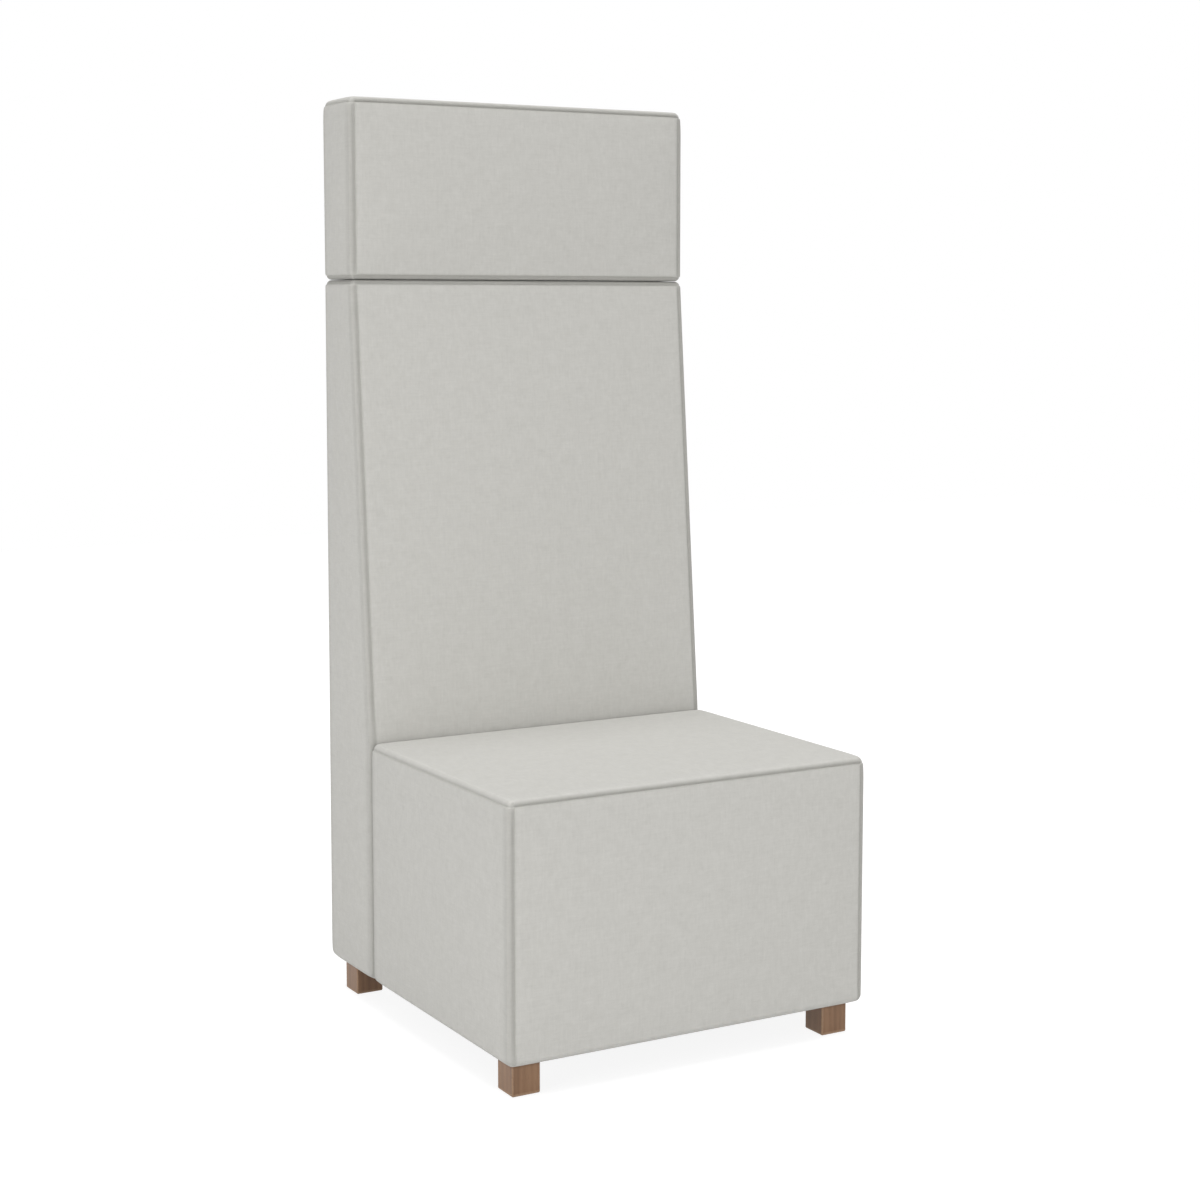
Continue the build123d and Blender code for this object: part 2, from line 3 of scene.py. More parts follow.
import bpy
import numpy as np
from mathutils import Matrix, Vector


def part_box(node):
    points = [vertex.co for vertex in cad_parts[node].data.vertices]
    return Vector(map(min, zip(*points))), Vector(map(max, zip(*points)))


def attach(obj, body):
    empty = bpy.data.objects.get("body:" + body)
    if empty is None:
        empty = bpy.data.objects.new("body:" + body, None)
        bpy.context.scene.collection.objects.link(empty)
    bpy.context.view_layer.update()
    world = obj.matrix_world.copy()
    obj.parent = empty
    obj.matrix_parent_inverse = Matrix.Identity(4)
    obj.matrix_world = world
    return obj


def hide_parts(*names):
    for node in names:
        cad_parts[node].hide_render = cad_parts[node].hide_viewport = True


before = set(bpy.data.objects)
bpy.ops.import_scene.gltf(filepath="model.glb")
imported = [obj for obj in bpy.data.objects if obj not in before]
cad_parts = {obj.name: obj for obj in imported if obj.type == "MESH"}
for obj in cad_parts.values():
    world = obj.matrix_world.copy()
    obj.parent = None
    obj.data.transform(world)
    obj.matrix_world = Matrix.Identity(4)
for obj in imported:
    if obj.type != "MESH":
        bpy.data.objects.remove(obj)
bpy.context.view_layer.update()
scene = bpy.context.scene
print("frame loaded with", len(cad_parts), "CAD nodes")


def mathsRule(operation, swapped=False):
    def apply(flow, *others):
        values = (*others, flow) if swapped else (flow, *others)
        return flow.bench.maths(operation, *values)

    return apply


class Flow:
    # one node socket, so that maths on it reads as plain Python
    def __init__(self, bench, socket):
        self.bench = bench
        self.socket = socket

    __add__ = __radd__ = mathsRule("ADD")
    __sub__ = mathsRule("SUBTRACT")
    __rsub__ = mathsRule("SUBTRACT", swapped=True)
    __mul__ = __rmul__ = mathsRule("MULTIPLY")
    __truediv__ = mathsRule("DIVIDE")
    __rtruediv__ = mathsRule("DIVIDE", swapped=True)
    __pow__ = mathsRule("POWER")
    __abs__ = mathsRule("ABSOLUTE")


class Bench:
    # a node tree and the one way to put nodes in it
    def __init__(self, tree):
        self.tree = tree
        tree.nodes.clear()

    def node(self, kind, settings=None, sockets=None, out=0):
        made = self.tree.nodes.new(kind)
        for name, value in (settings or {}).items():
            if name == "stops":
                self.setStops(made.color_ramp, value)
            else:
                setattr(made, name, value)
        for name, value in (sockets or {}).items():
            if isinstance(value, Flow):
                self.tree.links.new(value.socket, made.inputs[name])
            else:
                made.inputs[name].default_value = value
        return Flow(self, made.outputs[out]) if len(made.outputs) else None

    def setStops(self, ramp, stops):
        while len(ramp.elements) < len(stops):
            ramp.elements.new(1.0)
        for element, (place, colour) in zip(ramp.elements, stops):
            element.position = place
            element.color = (*colour, 1.0)

    def other(self, flow, name):
        # another output of the node that a flow comes from
        return Flow(self, flow.socket.node.outputs[name])

    def maths(self, operation, *values):
        return self.node("ShaderNodeMath", {"operation": operation}, dict(enumerate(values)))


class Finish(Bench):
    # a material and the patterns that it is made of
    def __init__(self, name):
        self.material = bpy.data.materials.new(name)
        self.material.use_nodes = True
        super().__init__(self.material.node_tree)

    def place(self):
        return self.node("ShaderNodeTexCoord", out="Object")

    def split(self, vector):
        made = self.node("ShaderNodeSeparateXYZ", None, {"Vector": vector})
        return [self.other(made, axis) for axis in "XYZ"]

    def mapped(self, vector, scale, shift=(0, 0, 0)):
        each = scale if isinstance(scale, (tuple, list)) else (scale, scale, scale)
        sockets = {"Vector": vector, "Scale": each, "Location": shift}
        return self.node("ShaderNodeMapping", None, sockets)

    def noise(self, vector, scale, detail=2.0, rough=0.5, shift=(0, 0, 0)):
        lay = self.mapped(vector, scale, shift)
        sockets = {"Vector": lay, "Scale": 1.0, "Detail": detail, "Roughness": rough}
        return self.node("ShaderNodeTexNoise", None, sockets)

    def smooth(self, value, low, high):
        settings = {"interpolation_type": "SMOOTHSTEP"}
        return self.node("ShaderNodeMapRange", settings, {"Value": value, "From Min": low, "From Max": high})

    def ramp(self, value, *stops):
        return self.node("ShaderNodeValToRGB", {"stops": stops}, {"Fac": value})

    def mix(self, factor, first, second, way="MIX"):
        settings = {"data_type": "RGBA", "blend_type": way}
        sockets = {0: factor, 6: opaque(first), 7: opaque(second)}
        return self.node("ShaderNodeMix", settings, sockets, out=2)

    def close(self, colour, roughness, height, recipe):
        strength, distance = recipe["bump"]
        lift = {"Strength": strength, "Distance": distance, "Height": height}
        sockets = {"Base Color": opaque(colour), "Roughness": roughness, **recipe["fixed"]}
        sockets["Normal"] = self.node("ShaderNodeBump", None, lift)
        shader = self.node("ShaderNodeBsdfPrincipled", None, sockets)
        self.node("ShaderNodeOutputMaterial", None, {"Surface": shader})
        return self.material


def opaque(colour):
    if isinstance(colour, Flow) or len(colour) == 4:
        return colour
    return (*colour, 1.0)


# Upholstery cloth: tone on tone yarns in a plain weave, laid square on every panel
linen = {
    "darkYarn": (0.533, 0.525, 0.493),
    "lightYarn": (0.665, 0.657, 0.624),
    # colour that the painted shade along seams and between blocks darkens towards
    "seamShadeTint": (0.42, 0.417, 0.40),
    # painted shade in the weave's valleys darkens towards this
    "valleyShadeColour": (0.16, 0.158, 0.145),
    "valleyShade": 0.16,
    "pitch": 0.00085,      # one yarn
    "wander": 0.0005,      # how far yarns stray from straight
    "crossing": 0.25,      # how gently one yarn gives way to the other
    "yarnRound": 0.4,
    "yarnTone": 0.40,      # how much each pattern counts in the tone
    "warpSlub": 0.45,
    "weftSlub": 0.40,
    "fleck": 0.50,
    "cloud": 0.50,
    "toneBase": 0.875,     # brings the mean tone to a half
    "cloudScale": 45,
    "fuzzScale": 2600,
    "bump": (0.55, 0.00022),
    "fixed": {"Sheen Weight": 0.12, "Sheen Roughness": 0.45, "Specular IOR Level": 0.18},
}

# Noise drawn out along the yarns: scale across and along, detail, roughness, shifts of warp and weft
yarnNoise = {
    "stray": (35, 9, 2.0, 0.5, (0, 0, 0), (3, 7, 0)),
    "tone": (0.6 / linen["pitch"], 14, 1.0, 0.5, (0, 0, 2), (0, 0, 5)),
    "slub": (340, 42, 3.0, 0.6, (5, 1, 0), (1, 9, 0)),
    "fleck": (190, 70, 3.0, 0.65, (7, 3, 4), (3, 8, 4)),
}


def yarnPair(f, lay, name):
    across, along, detail, rough, warpShift, weftShift = yarnNoise[name]
    warp = f.noise(lay, (across, along, 1), detail, rough, warpShift)
    weft = f.noise(lay, (along, across, 1), detail, rough, weftShift)
    return warp, weft


def linenFinish():
    f = Finish("linenWeave")
    lay = f.node("ShaderNodeUVMap", {"uv_map": "clothLay"})
    u, v, unused = f.split(lay)
    strayU, strayV = yarnPair(f, lay, "stray")
    turn = math.pi / linen["pitch"]
    warp = f.maths("SINE", (u + (strayU - 0.5) * linen["wander"]) * turn)
    weft = f.maths("SINE", (v + (strayV - 0.5) * linen["wander"]) * turn)
    # 1 where the upright yarn is on top
    over = f.smooth(warp * weft, -linen["crossing"], linen["crossing"])
    warpHigh = abs(warp) * (abs(weft) ** linen["yarnRound"])
    weftHigh = abs(weft) * (abs(warp) ** linen["yarnRound"])
    high = over * warpHigh + (1 - over) * weftHigh
    # each yarn has its own tone, and thick places drawn out along it
    warpTone, weftTone = yarnPair(f, lay, "tone")
    warpSlub, weftSlub = yarnPair(f, lay, "slub")
    warpFleck, weftFleck = yarnPair(f, lay, "fleck")
    cloud = f.noise(lay, linen["cloudScale"], 3.0, 0.6, shift=(2, 2, 3))
    yarnTone = (over * warpTone + (1 - over) * weftTone) * linen["yarnTone"]
    slubTone = warpSlub * linen["warpSlub"] + weftSlub * linen["weftSlub"]
    fleckTone = (warpFleck + weftFleck) * linen["fleck"]
    tone = yarnTone + slubTone + fleckTone + cloud * linen["cloud"] - linen["toneBase"]
    colour = f.mix(tone, linen["darkYarn"], linen["lightYarn"])
    # painted shade in the weave's valleys between yarns
    colour = f.mix((1 - high) * linen["valleyShade"], colour, linen["valleyShadeColour"])
    # painted shade along the seams and between blocks, where the cloth turns in
    crease = f.node("ShaderNodeAttribute", {"attribute_name": "seamNear"}, out="Fac")
    colour = f.mix(crease, colour, f.mix(1.0, colour, linen["seamShadeTint"], "MULTIPLY"))
    # loose fibre
    fuzz = f.noise(lay, linen["fuzzScale"], 2.0, 0.7)
    height = high + warpSlub * 0.5 + weftSlub * 0.5 + fuzz * 0.25
    rough = 0.94 - high * 0.08 - fuzz * 0.06
    return f.close(colour, rough, height, linen)


# Walnut stain over a hardwood block with upright grain
walnut = {
    "deep": (0.120, 0.058, 0.026),
    "middle": (0.234, 0.126, 0.064),
    "bright": (0.335, 0.195, 0.108),
    "worn": (0.420, 0.275, 0.175),
    # painted shade at the top of the foot, under the cover
    "shadeUnderCover": (0.085, 0.040, 0.017),
    "ringPitch": 0.0085,
    "ringLean": (0.8, 0.6),        # which way the rings cross the block
    "ringBend": 0.012,
    "figureScale": (70, 70, 5),
    "poreScale": (1500, 1500, 55),
    "wornEdge": 0.0022,
    "wornHeel": (0.0010, 0.0040),
    "shadeDepth": 0.010,
    "bump": (0.35, 0.0003),
    "fixed": {"Specular IOR Level": 0.4, "Coat Weight": 0.12, "Coat Roughness": 0.35},
    "firstSeed": 2.3,              # every foot is cut from another place
    "seedStep": 3.1,
}


def walnutFinish(node, seed):
    low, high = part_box(node)
    middle = (low + high) / 2
    edge = high.x - low.x          # the sum of x and y at an upright edge
    tall = high.z - low.z
    f = Finish("walnutStain." + node)
    local = f.mapped(f.place(), 1, (-middle.x, -middle.y, -low.z))
    x, y, z = f.split(local)
    # rings of the tree, far off to one side of the block
    leanX, leanY = walnut["ringLean"]
    bend = f.noise(local, (30, 30, 6), 2.0, shift=(seed, 0, 0)) * walnut["ringBend"]
    ring = f.maths("SINE", (x * leanX + y * leanY + bend) * (2 * math.pi / walnut["ringPitch"]) + seed)
    figure = f.noise(local, walnut["figureScale"], 3.0, 0.55, shift=(seed, 4, 0)) - 0.5
    pores = f.noise(local, walnut["poreScale"], 2.0, 0.7, shift=(0, seed, 0))
    openPore = f.smooth(pores, 0.60, 0.72)
    tone = 0.5 + ring * 0.06 + figure * 0.9 + (pores - 0.5) * 0.30
    colour = f.ramp(tone, (0.05, walnut["deep"]), (0.5, walnut["middle"]), (0.95, walnut["bright"]))
    colour = f.mix(openPore * 0.55, colour, walnut["deep"])
    # stain rubs thin on the eased edges
    chip = f.noise(local, 220, 2.0, 0.6, shift=(seed, seed, 0)) * walnut["wornEdge"]
    corner = f.smooth(abs(x) + abs(y) + chip, edge - walnut["wornEdge"], edge + 0.0004)
    heel = 1 - f.smooth(z - chip, *walnut["wornHeel"])
    wear = f.maths("MAXIMUM", corner, heel)
    colour = f.mix(wear * 0.6, colour, walnut["worn"])
    # painted shade at the top of the foot, under the cover
    colour = f.mix(f.smooth(z, tall - walnut["shadeDepth"], tall) * 0.85, colour, walnut["shadeUnderCover"])
    height = 0.5 - openPore * 0.6 + ring * 0.08 + figure * 0.3
    rough = 0.42 + openPore * 0.2 + wear * 0.12 + figure * 0.1
    return f.close(colour, rough, height, walnut)


# Black spun-bonded cloth under the chair, with its rows of pressed points
cambric = {
    "dark": (0.010, 0.010, 0.011),
    "light": (0.030, 0.030, 0.032),
    "pressed": (0.040, 0.040, 0.043),
    "pointPitch": 0.0011,
    "fibreScale": 900,
    "cloudScale": 45,
    "bump": (0.5, 0.0002),
    "fixed": {"Sheen Weight": 0.15, "Specular IOR Level": 0.3},
}


def cambricFinish():
    f = Finish("blackCambric")
    lay = f.node("ShaderNodeUVMap", {"uv_map": "clothLay"})
    u, v, unused = f.split(lay)
    turn = math.pi / cambric["pointPitch"]
    points = f.maths("SINE", (u + v) * turn) * f.maths("SINE", (u - v) * turn)
    pressed = f.smooth(points, 0.55, 0.9)
    fibre = f.noise(lay, cambric["fibreScale"], 4.0, 0.7)
    cloud = f.noise(lay, cambric["cloudScale"], 3.0, 0.6, shift=(4, 2, 0))
    colour = f.ramp(fibre * 0.6 + cloud * 0.4, (0.3, cambric["dark"]), (0.7, cambric["light"]))
    colour = f.mix(pressed * 0.5, colour, cambric["pressed"])
    return f.close(colour, 0.85 - pressed * 0.25, fibre * 0.6 - pressed, cambric)


# Plywood with birch faces, and the plies showing on the sawn edges
birchPly = {
    "dark": (0.50, 0.36, 0.22),
    "light": (0.68, 0.53, 0.36),
    "turned": (0.42, 0.28, 0.16),
    "glue": (0.16, 0.09, 0.05),
    "ply": 0.0014,         # a dark glue line shows at every second ply
    "acrossScale": 60,
    "alongScale": 4,
    "poresFiner": 12,
    "bump": (0.3, 0.0003),
    "fixed": {"Specular IOR Level": 0.35},
}


def plywoodFinish(node):
    low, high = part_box(node)
    thin = min(range(3), key=lambda i: high[i] - low[i])
    f = Finish("birchPly." + node)
    place = f.place()
    across = f.split(place)[thin] - low[thin]
    scale = [birchPly["acrossScale"]] * 3
    scale[0 if thin == 2 else 2] = birchPly["alongScale"]      # grain runs up, or sideways in a lying board
    face = f.noise(place, scale, 4.0, 0.6)
    pores = f.noise(place, [s * birchPly["poresFiner"] for s in scale], 2.0, 0.7)
    wood = f.ramp(face * 0.75 + pores * 0.25, (0.25, birchPly["dark"]), (0.75, birchPly["light"]))
    layer = f.maths("FRACT", across / (2 * birchPly["ply"]))
    glue = 1 - f.smooth(layer, 0.02, 0.12)
    turned = f.maths("FLOORED_MODULO", f.maths("FLOOR", across / birchPly["ply"]), 2.0)
    normal = f.node("ShaderNodeNewGeometry", out="Normal")
    edge = 1 - f.smooth(abs(f.split(normal)[thin]), 0.3, 0.7)
    plies = f.mix(turned * 0.45, wood, birchPly["turned"])
    plies = f.mix(glue, plies, birchPly["glue"])
    colour = f.mix(edge, wood, plies)
    height = face * 0.4 + pores * 0.4 - edge * glue * 0.5
    return f.close(colour, 0.62 + pores * 0.15, height, birchPly)


# Mottled finishes: two noises (scale, detail, roughness) and their shares in tone, roughness and height
# Spots show where the second noise is high: from, to, strength, tint
mottled = {
    "seamThread": {
        "noises": [(2400, 2.0, 0.6), (40, 2.0, 0.5)],
        "tone": (0.7, 0.3),
        "stops": [(0.25, (0.36, 0.358, 0.33)), (0.75, (0.52, 0.517, 0.48))],
        "rough": (0.75, -0.2),
        "height": (1, 0),
        "bump": (0.4, 0.0001),
        "fixed": {"Sheen Weight": 0.1, "Specular IOR Level": 0.25},
    },
    "beechBlock": {
        "noises": [((14, 90, 90), 3.0, 0.55), ((120, 900, 900), 2.0, 0.7)],
        "tone": (0.7, 0.3),
        "stops": [(0.25, (0.44, 0.27, 0.15)), (0.75, (0.62, 0.43, 0.27))],
        "spots": (0.62, 0.74, 0.4, (0.26, 0.14, 0.07)),
        "rough": (0.58, 0, 0.15),
        "height": (0.4, 0.6),
        "bump": (0.3, 0.0003),
        "fixed": {"Specular IOR Level": 0.35},
    },
    "pressedBoard": {
        "noises": [(700, 4.0, 0.75), (25, 3.0, 0.6)],
        "tone": (0.6, 0.4),
        "stops": [(0.3, (0.13, 0.072, 0.038)), (0.7, (0.23, 0.140, 0.080))],
        "rough": (0.55, 0.2),
        "height": (1, 0),
        "bump": (0.35, 0.0003),
        "fixed": {"Specular IOR Level": 0.35},
    },
    "blackNylon": {
        "noises": [(1500, 2.0, 0.6), ((180, 500, 180), 3.0, 0.7)],
        "tone": (1, 0),
        "stops": [(0.3, (0.020, 0.020, 0.021)), (0.7, (0.032, 0.032, 0.034))],
        "spots": (0.58, 0.72, 0.5, (0.075, 0.073, 0.070)),
        "rough": (0.42, 0, 0, 0.25),
        "height": (1, 0, -0.4),
        "bump": (0.2, 0.0002),
        "fixed": {"Specular IOR Level": 0.45},
    },
}


def steel(dark, light, rough, metallic):
    # plated, bare or coated, with fine handling marks
    return {
        "noises": [(260, 3.0, 0.6), ((1800, 1800, 300), 2.0, 0.7)],
        "tone": (0.6, 0.4),
        "stops": [(0.3, dark), (0.7, light)],
        "rough": (rough, 0.2, 0.15),
        "height": (0, 1),
        "bump": (0.15, 0.0002),
        "fixed": {"Metallic": metallic},
    }


mottled["zincPlate"] = steel((0.52, 0.53, 0.54), (0.70, 0.71, 0.72), 0.185, 1.0)
mottled["springSteel"] = steel((0.20, 0.20, 0.21), (0.36, 0.36, 0.37), 0.245, 1.0)
mottled["blackSteel"] = steel((0.018, 0.018, 0.019), (0.034, 0.034, 0.036), 0.305, 0.0)


def weigh(shares, flows):
    return sum(flow * share for share, flow in zip(shares, flows) if share)


def mottledFinish(name):
    recipe = mottled[name]
    f = Finish(name)
    place = f.place()
    flows = [f.noise(place, *noise) for noise in recipe["noises"]]
    colour = f.ramp(weigh(recipe["tone"], flows), *recipe["stops"])
    if "spots" in recipe:
        low, high, strength, tint = recipe["spots"]
        flows.append(f.smooth(flows[1], low, high))
        colour = f.mix(flows[2] * strength, colour, tint)
    base, *shares = recipe["rough"]
    return f.close(colour, base + weigh(shares, flows), weigh(recipe["height"], flows), recipe)


linenWeave = linenFinish()
seamThread = mottledFinish("seamThread")
blackCambric = cambricFinish()
zincPlate = mottledFinish("zincPlate")
print("cloth, thread and metal finishes made")


# Sewn covers: six panels of one rounded block that share their seams
faces = {                  # axis, and whether the face is at its high end
    "right": (0, 0),
    "left": (0, 1),
    "front": (1, 0),
    "rear": (1, 1),
    "bottom": (2, 0),
    "top": (2, 1),
}
sides = ("right", "left", "front", "rear")
touching = 1e-7            # a point this near a face or a seam is on it
farOff = 1.0               # out of every seam's reach

coverGrid = {
    "rimShares": (0, 0.35, 0.62, 0.78, 0.88, 0.95, 1),     # lines from the block's edge to the seam
    "pastSeam": (0.0005, 0.0012, 0.0022, 0.0038, 0.0062, 0.010, 0.016, 0.024),
    "panelOffset": (0.75, 1.3),    # each panel takes its own place on the cloth
}

seamShape = {
    "faceDrop": (0.0015, 0.003),   # depth and reach of the turn down on the panel's own face
    "puffDrop": (0.0011, 0.012),   # slower fall of the padding behind it
    "loopFlat": 0.0020,            # the strip that turns the edge lies low for this far, then rises
    "uprightFlat": 0.0035,
    "stripReach": 0.012,
    "lineShade": (0.42, 0.0020),   # painted shade on the seam line, and on the strips beside it
    "uprightShade": (0.43, 0.022),
    "loopShadeReach": 0.009,
    "sideLoop": 0.55,              # a loop is shallower, and its painted shade lighter, on the chair's sides
    "edgeFade": 0.010,             # seams are shallower where they cross an edge
    "loopAtEdge": 0.5,             # and keep this much of their depth there
    "uprightAtLoop": 0.7,
    "lowerEnd": 0.045,             # upright seams lie flatter near the frame's lower edge
    "uprightLowest": 0.1,
    "pressDepth": 0.0005,          # faint line where a side panel starts to turn
    "pressWidth": 0.0020,
    "gapShade": (0.46, 0.0085),    # little light comes between two blocks
    "cornerReach": 0.032,          # the rims grow rounder this near a corner
}

puckers = {
    "depth": 0.00020,
    "waves": (0.011, 0.017, 0.029),
    "reach": 0.006,
    "clear": (0.001, 0.004),       # they start beside the seam line, not on it
    "seed": 11,
}

clothPull = {
    "frames": 20,
    "heldRim": 0.0015,     # cloth this near a seam stays where it is sewn
    "fullest": 99.5,       # the percentile that is scaled to a panel's swell
    "cap": 1.02,
    "settings": {
        "quality": 5,
        "mass": 0.3,
        "tension_stiffness": 15.0,
        "compression_stiffness": 15.0,
        "bending_stiffness": 0.5,
        "use_pressure": True,
        "uniform_pressure_force": 4.0,
        "vertex_group_mass": "held",
    },
}

# The top panel turns down over every edge to a seam all round
# The side panels turn on to front and rear
seatCover = {
    "name": "seatUpholstery",
    "node": "seat_cover",
    "hides": ["seat_foam", "seat_front_pad", "seat_left_pad", "seat_right_pad", "spring_insulator"],
    "crownAbove": {"top": 0.005},
    "radius": 0.010,
    "cornerRadius": {"top": 0.0135, "bottom": 0.0115},
    "step": 0.017,
    "swell": {"top": 0.0055, "front": 0.003, "left": 0.0025, "right": 0.0025},
    "loops": {"top": (0.0095, 0.52)},      # how far from the edge, and how dark the painted shade on its strip is
    "pressed": [],
    "against": [],
    "row": 0,
}

backCover = {
    "name": "backUpholstery",
    "node": "back_cover",
    "hides": ["back_foam", "back_left_pad", "back_right_pad", "back_rear_pad", "back_top_pad"],
    "crownAbove": {},
    "radius": 0.010,
    "cornerRadius": {"top": 0.010, "bottom": 0.0135},
    "step": 0.018,
    "swell": {"front": 0.0028, "rear": 0.003, "left": 0.002, "right": 0.002},
    "loops": {"top": (0.0055, 0.44)},
    "pressed": ["front"],
    "against": ["top"],
    "row": 1,
    "slopeFrom": 0.432,    # the front leans back above the seat
    "slopeHeld": 0.004,    # and its cloth is held up to this far above the bend
    "slopeRun": 0.0582,
    "bendReach": 0.016,
    "taper": 0.003,        # each side comes in by this at the top
}

headrestCover = {
    "name": "headrestUpholstery",
    "node": "headrest_cover",
    "hides": ["headrest_foam", "headrest_rear_pad", "headrest_edge_pad"],
    "crownAbove": {"front": 0.005},
    "radius": 0.010,
    "cornerRadius": {"top": 0.014, "bottom": 0.010},
    "step": 0.014,
    "swell": {"front": 0.0055, "rear": 0.003, "left": 0.002, "right": 0.002, "top": 0.002},
    "loops": {"top": (0.0085, 0.65), "bottom": (0.0050, 0.44)},
    "pressed": ["front"],
    "against": ["bottom"],
    "row": 2,
}


def smoothStep(low, high, value):
    t = np.clip((value - low) / (high - low), 0, 1)
    return t * t * (3 - 2 * t)


def spreadLines(first, last, length, step):
    # grid lines from edge to edge: given ones near each, even ones between
    start, stop = first[-1], length - last[-1]
    count = max(2, round((stop - start) / step))
    middle = [start + (stop - start) * i / count for i in range(1, count)]
    return np.array(first + middle + [length - value for value in reversed(last)])


def gradedLines(length, step, seamsAt):
    # close together beside the seam near each edge
    ends = []
    for seamAt in seamsAt:
        rim = [seamAt * share for share in coverGrid["rimShares"]]
        ends.append(rim + [seamAt + way for way in coverGrid["pastSeam"]])
    return spreadLines(*ends, length, step)


def rimLength(distance, radius):
    # cloth from the block's edge, over half of the rounded rim and on across the face
    bent = np.minimum(distance, radius)
    over = radius * (math.pi / 4 - np.arctan((radius - bent) / radius))
    return over + np.maximum(distance - radius, 0)


def flatLay(distance, length, radius):
    # cloth from one edge of the block to a point, and over the far rim too
    whole = 2 * rimLength(np.array(length / 2), radius)
    fromEnd = rimLength(length - distance, radius)
    return np.where(distance < length / 2, rimLength(distance, radius), whole - fromEnd)


def blockGrid(low, high, cover):
    # shared points on the six faces of the block, its quads and the face of each
    radius = cover["radius"]
    heights = tuple(cover["loops"].get(face, (radius,))[0] for face in ("bottom", "top"))
    seamsAt = [(radius, radius), (radius, radius), heights]
    lines = [low[i] + gradedLines(high[i] - low[i], cover["step"], seamsAt[i]) for i in range(3)]
    known = {}
    points, quads, owners = [], [], []
    for face, (axis, side) in faces.items():
        a, b = (axis + 1) % 3, (axis + 2) % 3
        fixed = len(lines[axis]) - 1 if side else 0

        def pointAt(i, j):
            key = [0, 0, 0]
            key[axis], key[a], key[b] = fixed, i, j
            key = tuple(key)
            if key not in known:
                known[key] = len(points)
                points.append([lines[n][key[n]] for n in range(3)])
            return known[key]

        for i in range(len(lines[a]) - 1):
            for j in range(len(lines[b]) - 1):
                quad = [pointAt(i, j), pointAt(i + 1, j), pointAt(i + 1, j + 1), pointAt(i, j + 1)]
                quads.append(quad if side else quad[::-1])
                owners.append(face)
    return np.array(points), quads, owners


def lean(points, low, high, cover):
    # the back's front slopes and its sides come in, while its rims keep their roundness
    if "slopeRun" not in cover:
        return points
    leaned = points.copy()
    start, reach = cover["slopeFrom"], cover["bendReach"]
    rise = points[:, 2] - start
    eased = np.where(rise < -reach, 0, np.where(rise > reach, rise, (rise + reach) ** 2 / (4 * reach)))
    run = cover["slopeRun"] * eased / (high[2] - start)
    front, rear = low[1] + cover["radius"], high[1] - cover["radius"]
    share = np.clip((rear - points[:, 1]) / (rear - front), 0, 1)
    leaned[:, 1] += run * share
    up = np.clip((points[:, 2] - low[2]) / (high[2] - low[2]), 0, 1)
    leaned[:, 0] *= 1 - cover["taper"] / high[0] * up
    return leaned


class Block:
    # the rounded block that a cover is sewn round: points on its six faces, and where each lies
    def __init__(self, cover):
        self.cover = cover
        self.radius = cover["radius"]
        self.low, self.high = (np.array(corner, float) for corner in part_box(cover["node"]))
        for face, crown in cover["crownAbove"].items():
            axis, side = faces[face]
            if side:
                self.high[axis] -= crown
            else:
                self.low[axis] += crown
        self.box, self.quads, self.owners = blockGrid(self.low, self.high, cover)
        self.gaps = {face: self.gapTo(face) for face in faces}
        self.on = {face: self.gaps[face] < touching for face in faces}
        self.onSide = np.any([self.on[side] for side in sides], axis=0)
        self.rims = {face: rimLength(self.gaps[face], self.radius) for face in faces}
        self.turn = self.clothTo(self.radius)
        self.roundEdges()

    def gapTo(self, face):
        axis, side = faces[face]
        along = self.box[:, axis]
        return self.high[axis] - along if side else along - self.low[axis]

    def clothTo(self, distance):
        return float(rimLength(np.array(distance), self.radius))

    def roundEdges(self):
        low, high, box = self.low, self.high, self.box
        fromCorner = np.minimum(box - low, high - box).max(1)
        rounder = 1 - smoothStep(0, seamShape["cornerReach"], fromCorner)
        upper = self.gaps["top"] < self.gaps["bottom"]
        corner = self.cover["cornerRadius"]
        cornerRadius = np.where(upper, corner["top"], corner["bottom"])
        bend = (self.radius + (cornerRadius - self.radius) * rounder)[:, None]
        inner = np.clip(box, low + bend, high - bend)
        outward = box - inner
        self.outward = outward / np.linalg.norm(outward, axis=1)[:, None]
        self.base = lean(inner + bend * self.outward, low, high, self.cover)


def blowUp(obj, held):
    # cloth held at its seams and pushed out from inside, as by its padding
    group = obj.vertex_groups.new(name="held")
    group.add([int(i) for i in np.flatnonzero(held)], 1.0, "REPLACE")
    cloth = obj.modifiers.new("cloth", "CLOTH")
    for name, value in clothPull["settings"].items():
        setattr(cloth.settings, name, value)
    cloth.settings.effector_weights.gravity = 0
    cloth.collision_settings.use_collision = False
    cloth.point_cache.frame_start = 1
    cloth.point_cache.frame_end = clothPull["frames"]
    for number in range(1, clothPull["frames"] + 1):
        scene.frame_set(number)
    graph = bpy.context.evaluated_depsgraph_get()
    shaped = obj.evaluated_get(graph)
    swollen = np.empty(len(obj.data.vertices) * 3)
    shaped.data.vertices.foreach_get("co", swollen)
    obj.modifiers.remove(cloth)
    obj.vertex_groups.remove(group)
    scene.frame_set(1)
    return swollen.reshape(-1, 3)


def crownPanels(block, obj):
    # how far each point stands out, scaled so that every panel's middle does so by its swell
    cover, on = block.cover, block.on
    edgeGap = np.partition(np.stack([block.gaps[face] for face in faces], 1), 1, axis=1)[:, 1]
    free = np.any([on[face] for face in cover["swell"]], axis=0)
    if "slopeFrom" in cover:
        free &= ~(on["front"] & (block.box[:, 2] < cover["slopeFrom"] + cover["slopeHeld"]))
    held = ~free | (edgeGap < block.radius + clothPull["heldRim"])
    moves = np.zeros(len(block.box))
    rises = ((blowUp(obj, held) - block.base) * block.outward).sum(1)
    for face, swell in cover["swell"].items():
        mine = on[face] & ~held
        most = np.percentile(rises[mine], clothPull["fullest"])
        print("  ", cover["name"], face, "pushed out", round(most * 1000, 2), "mm, set to", swell * 1000)
        moves = np.where(mine, np.clip(rises / most, 0, clothPull["cap"]) * swell, moves)
    return moves


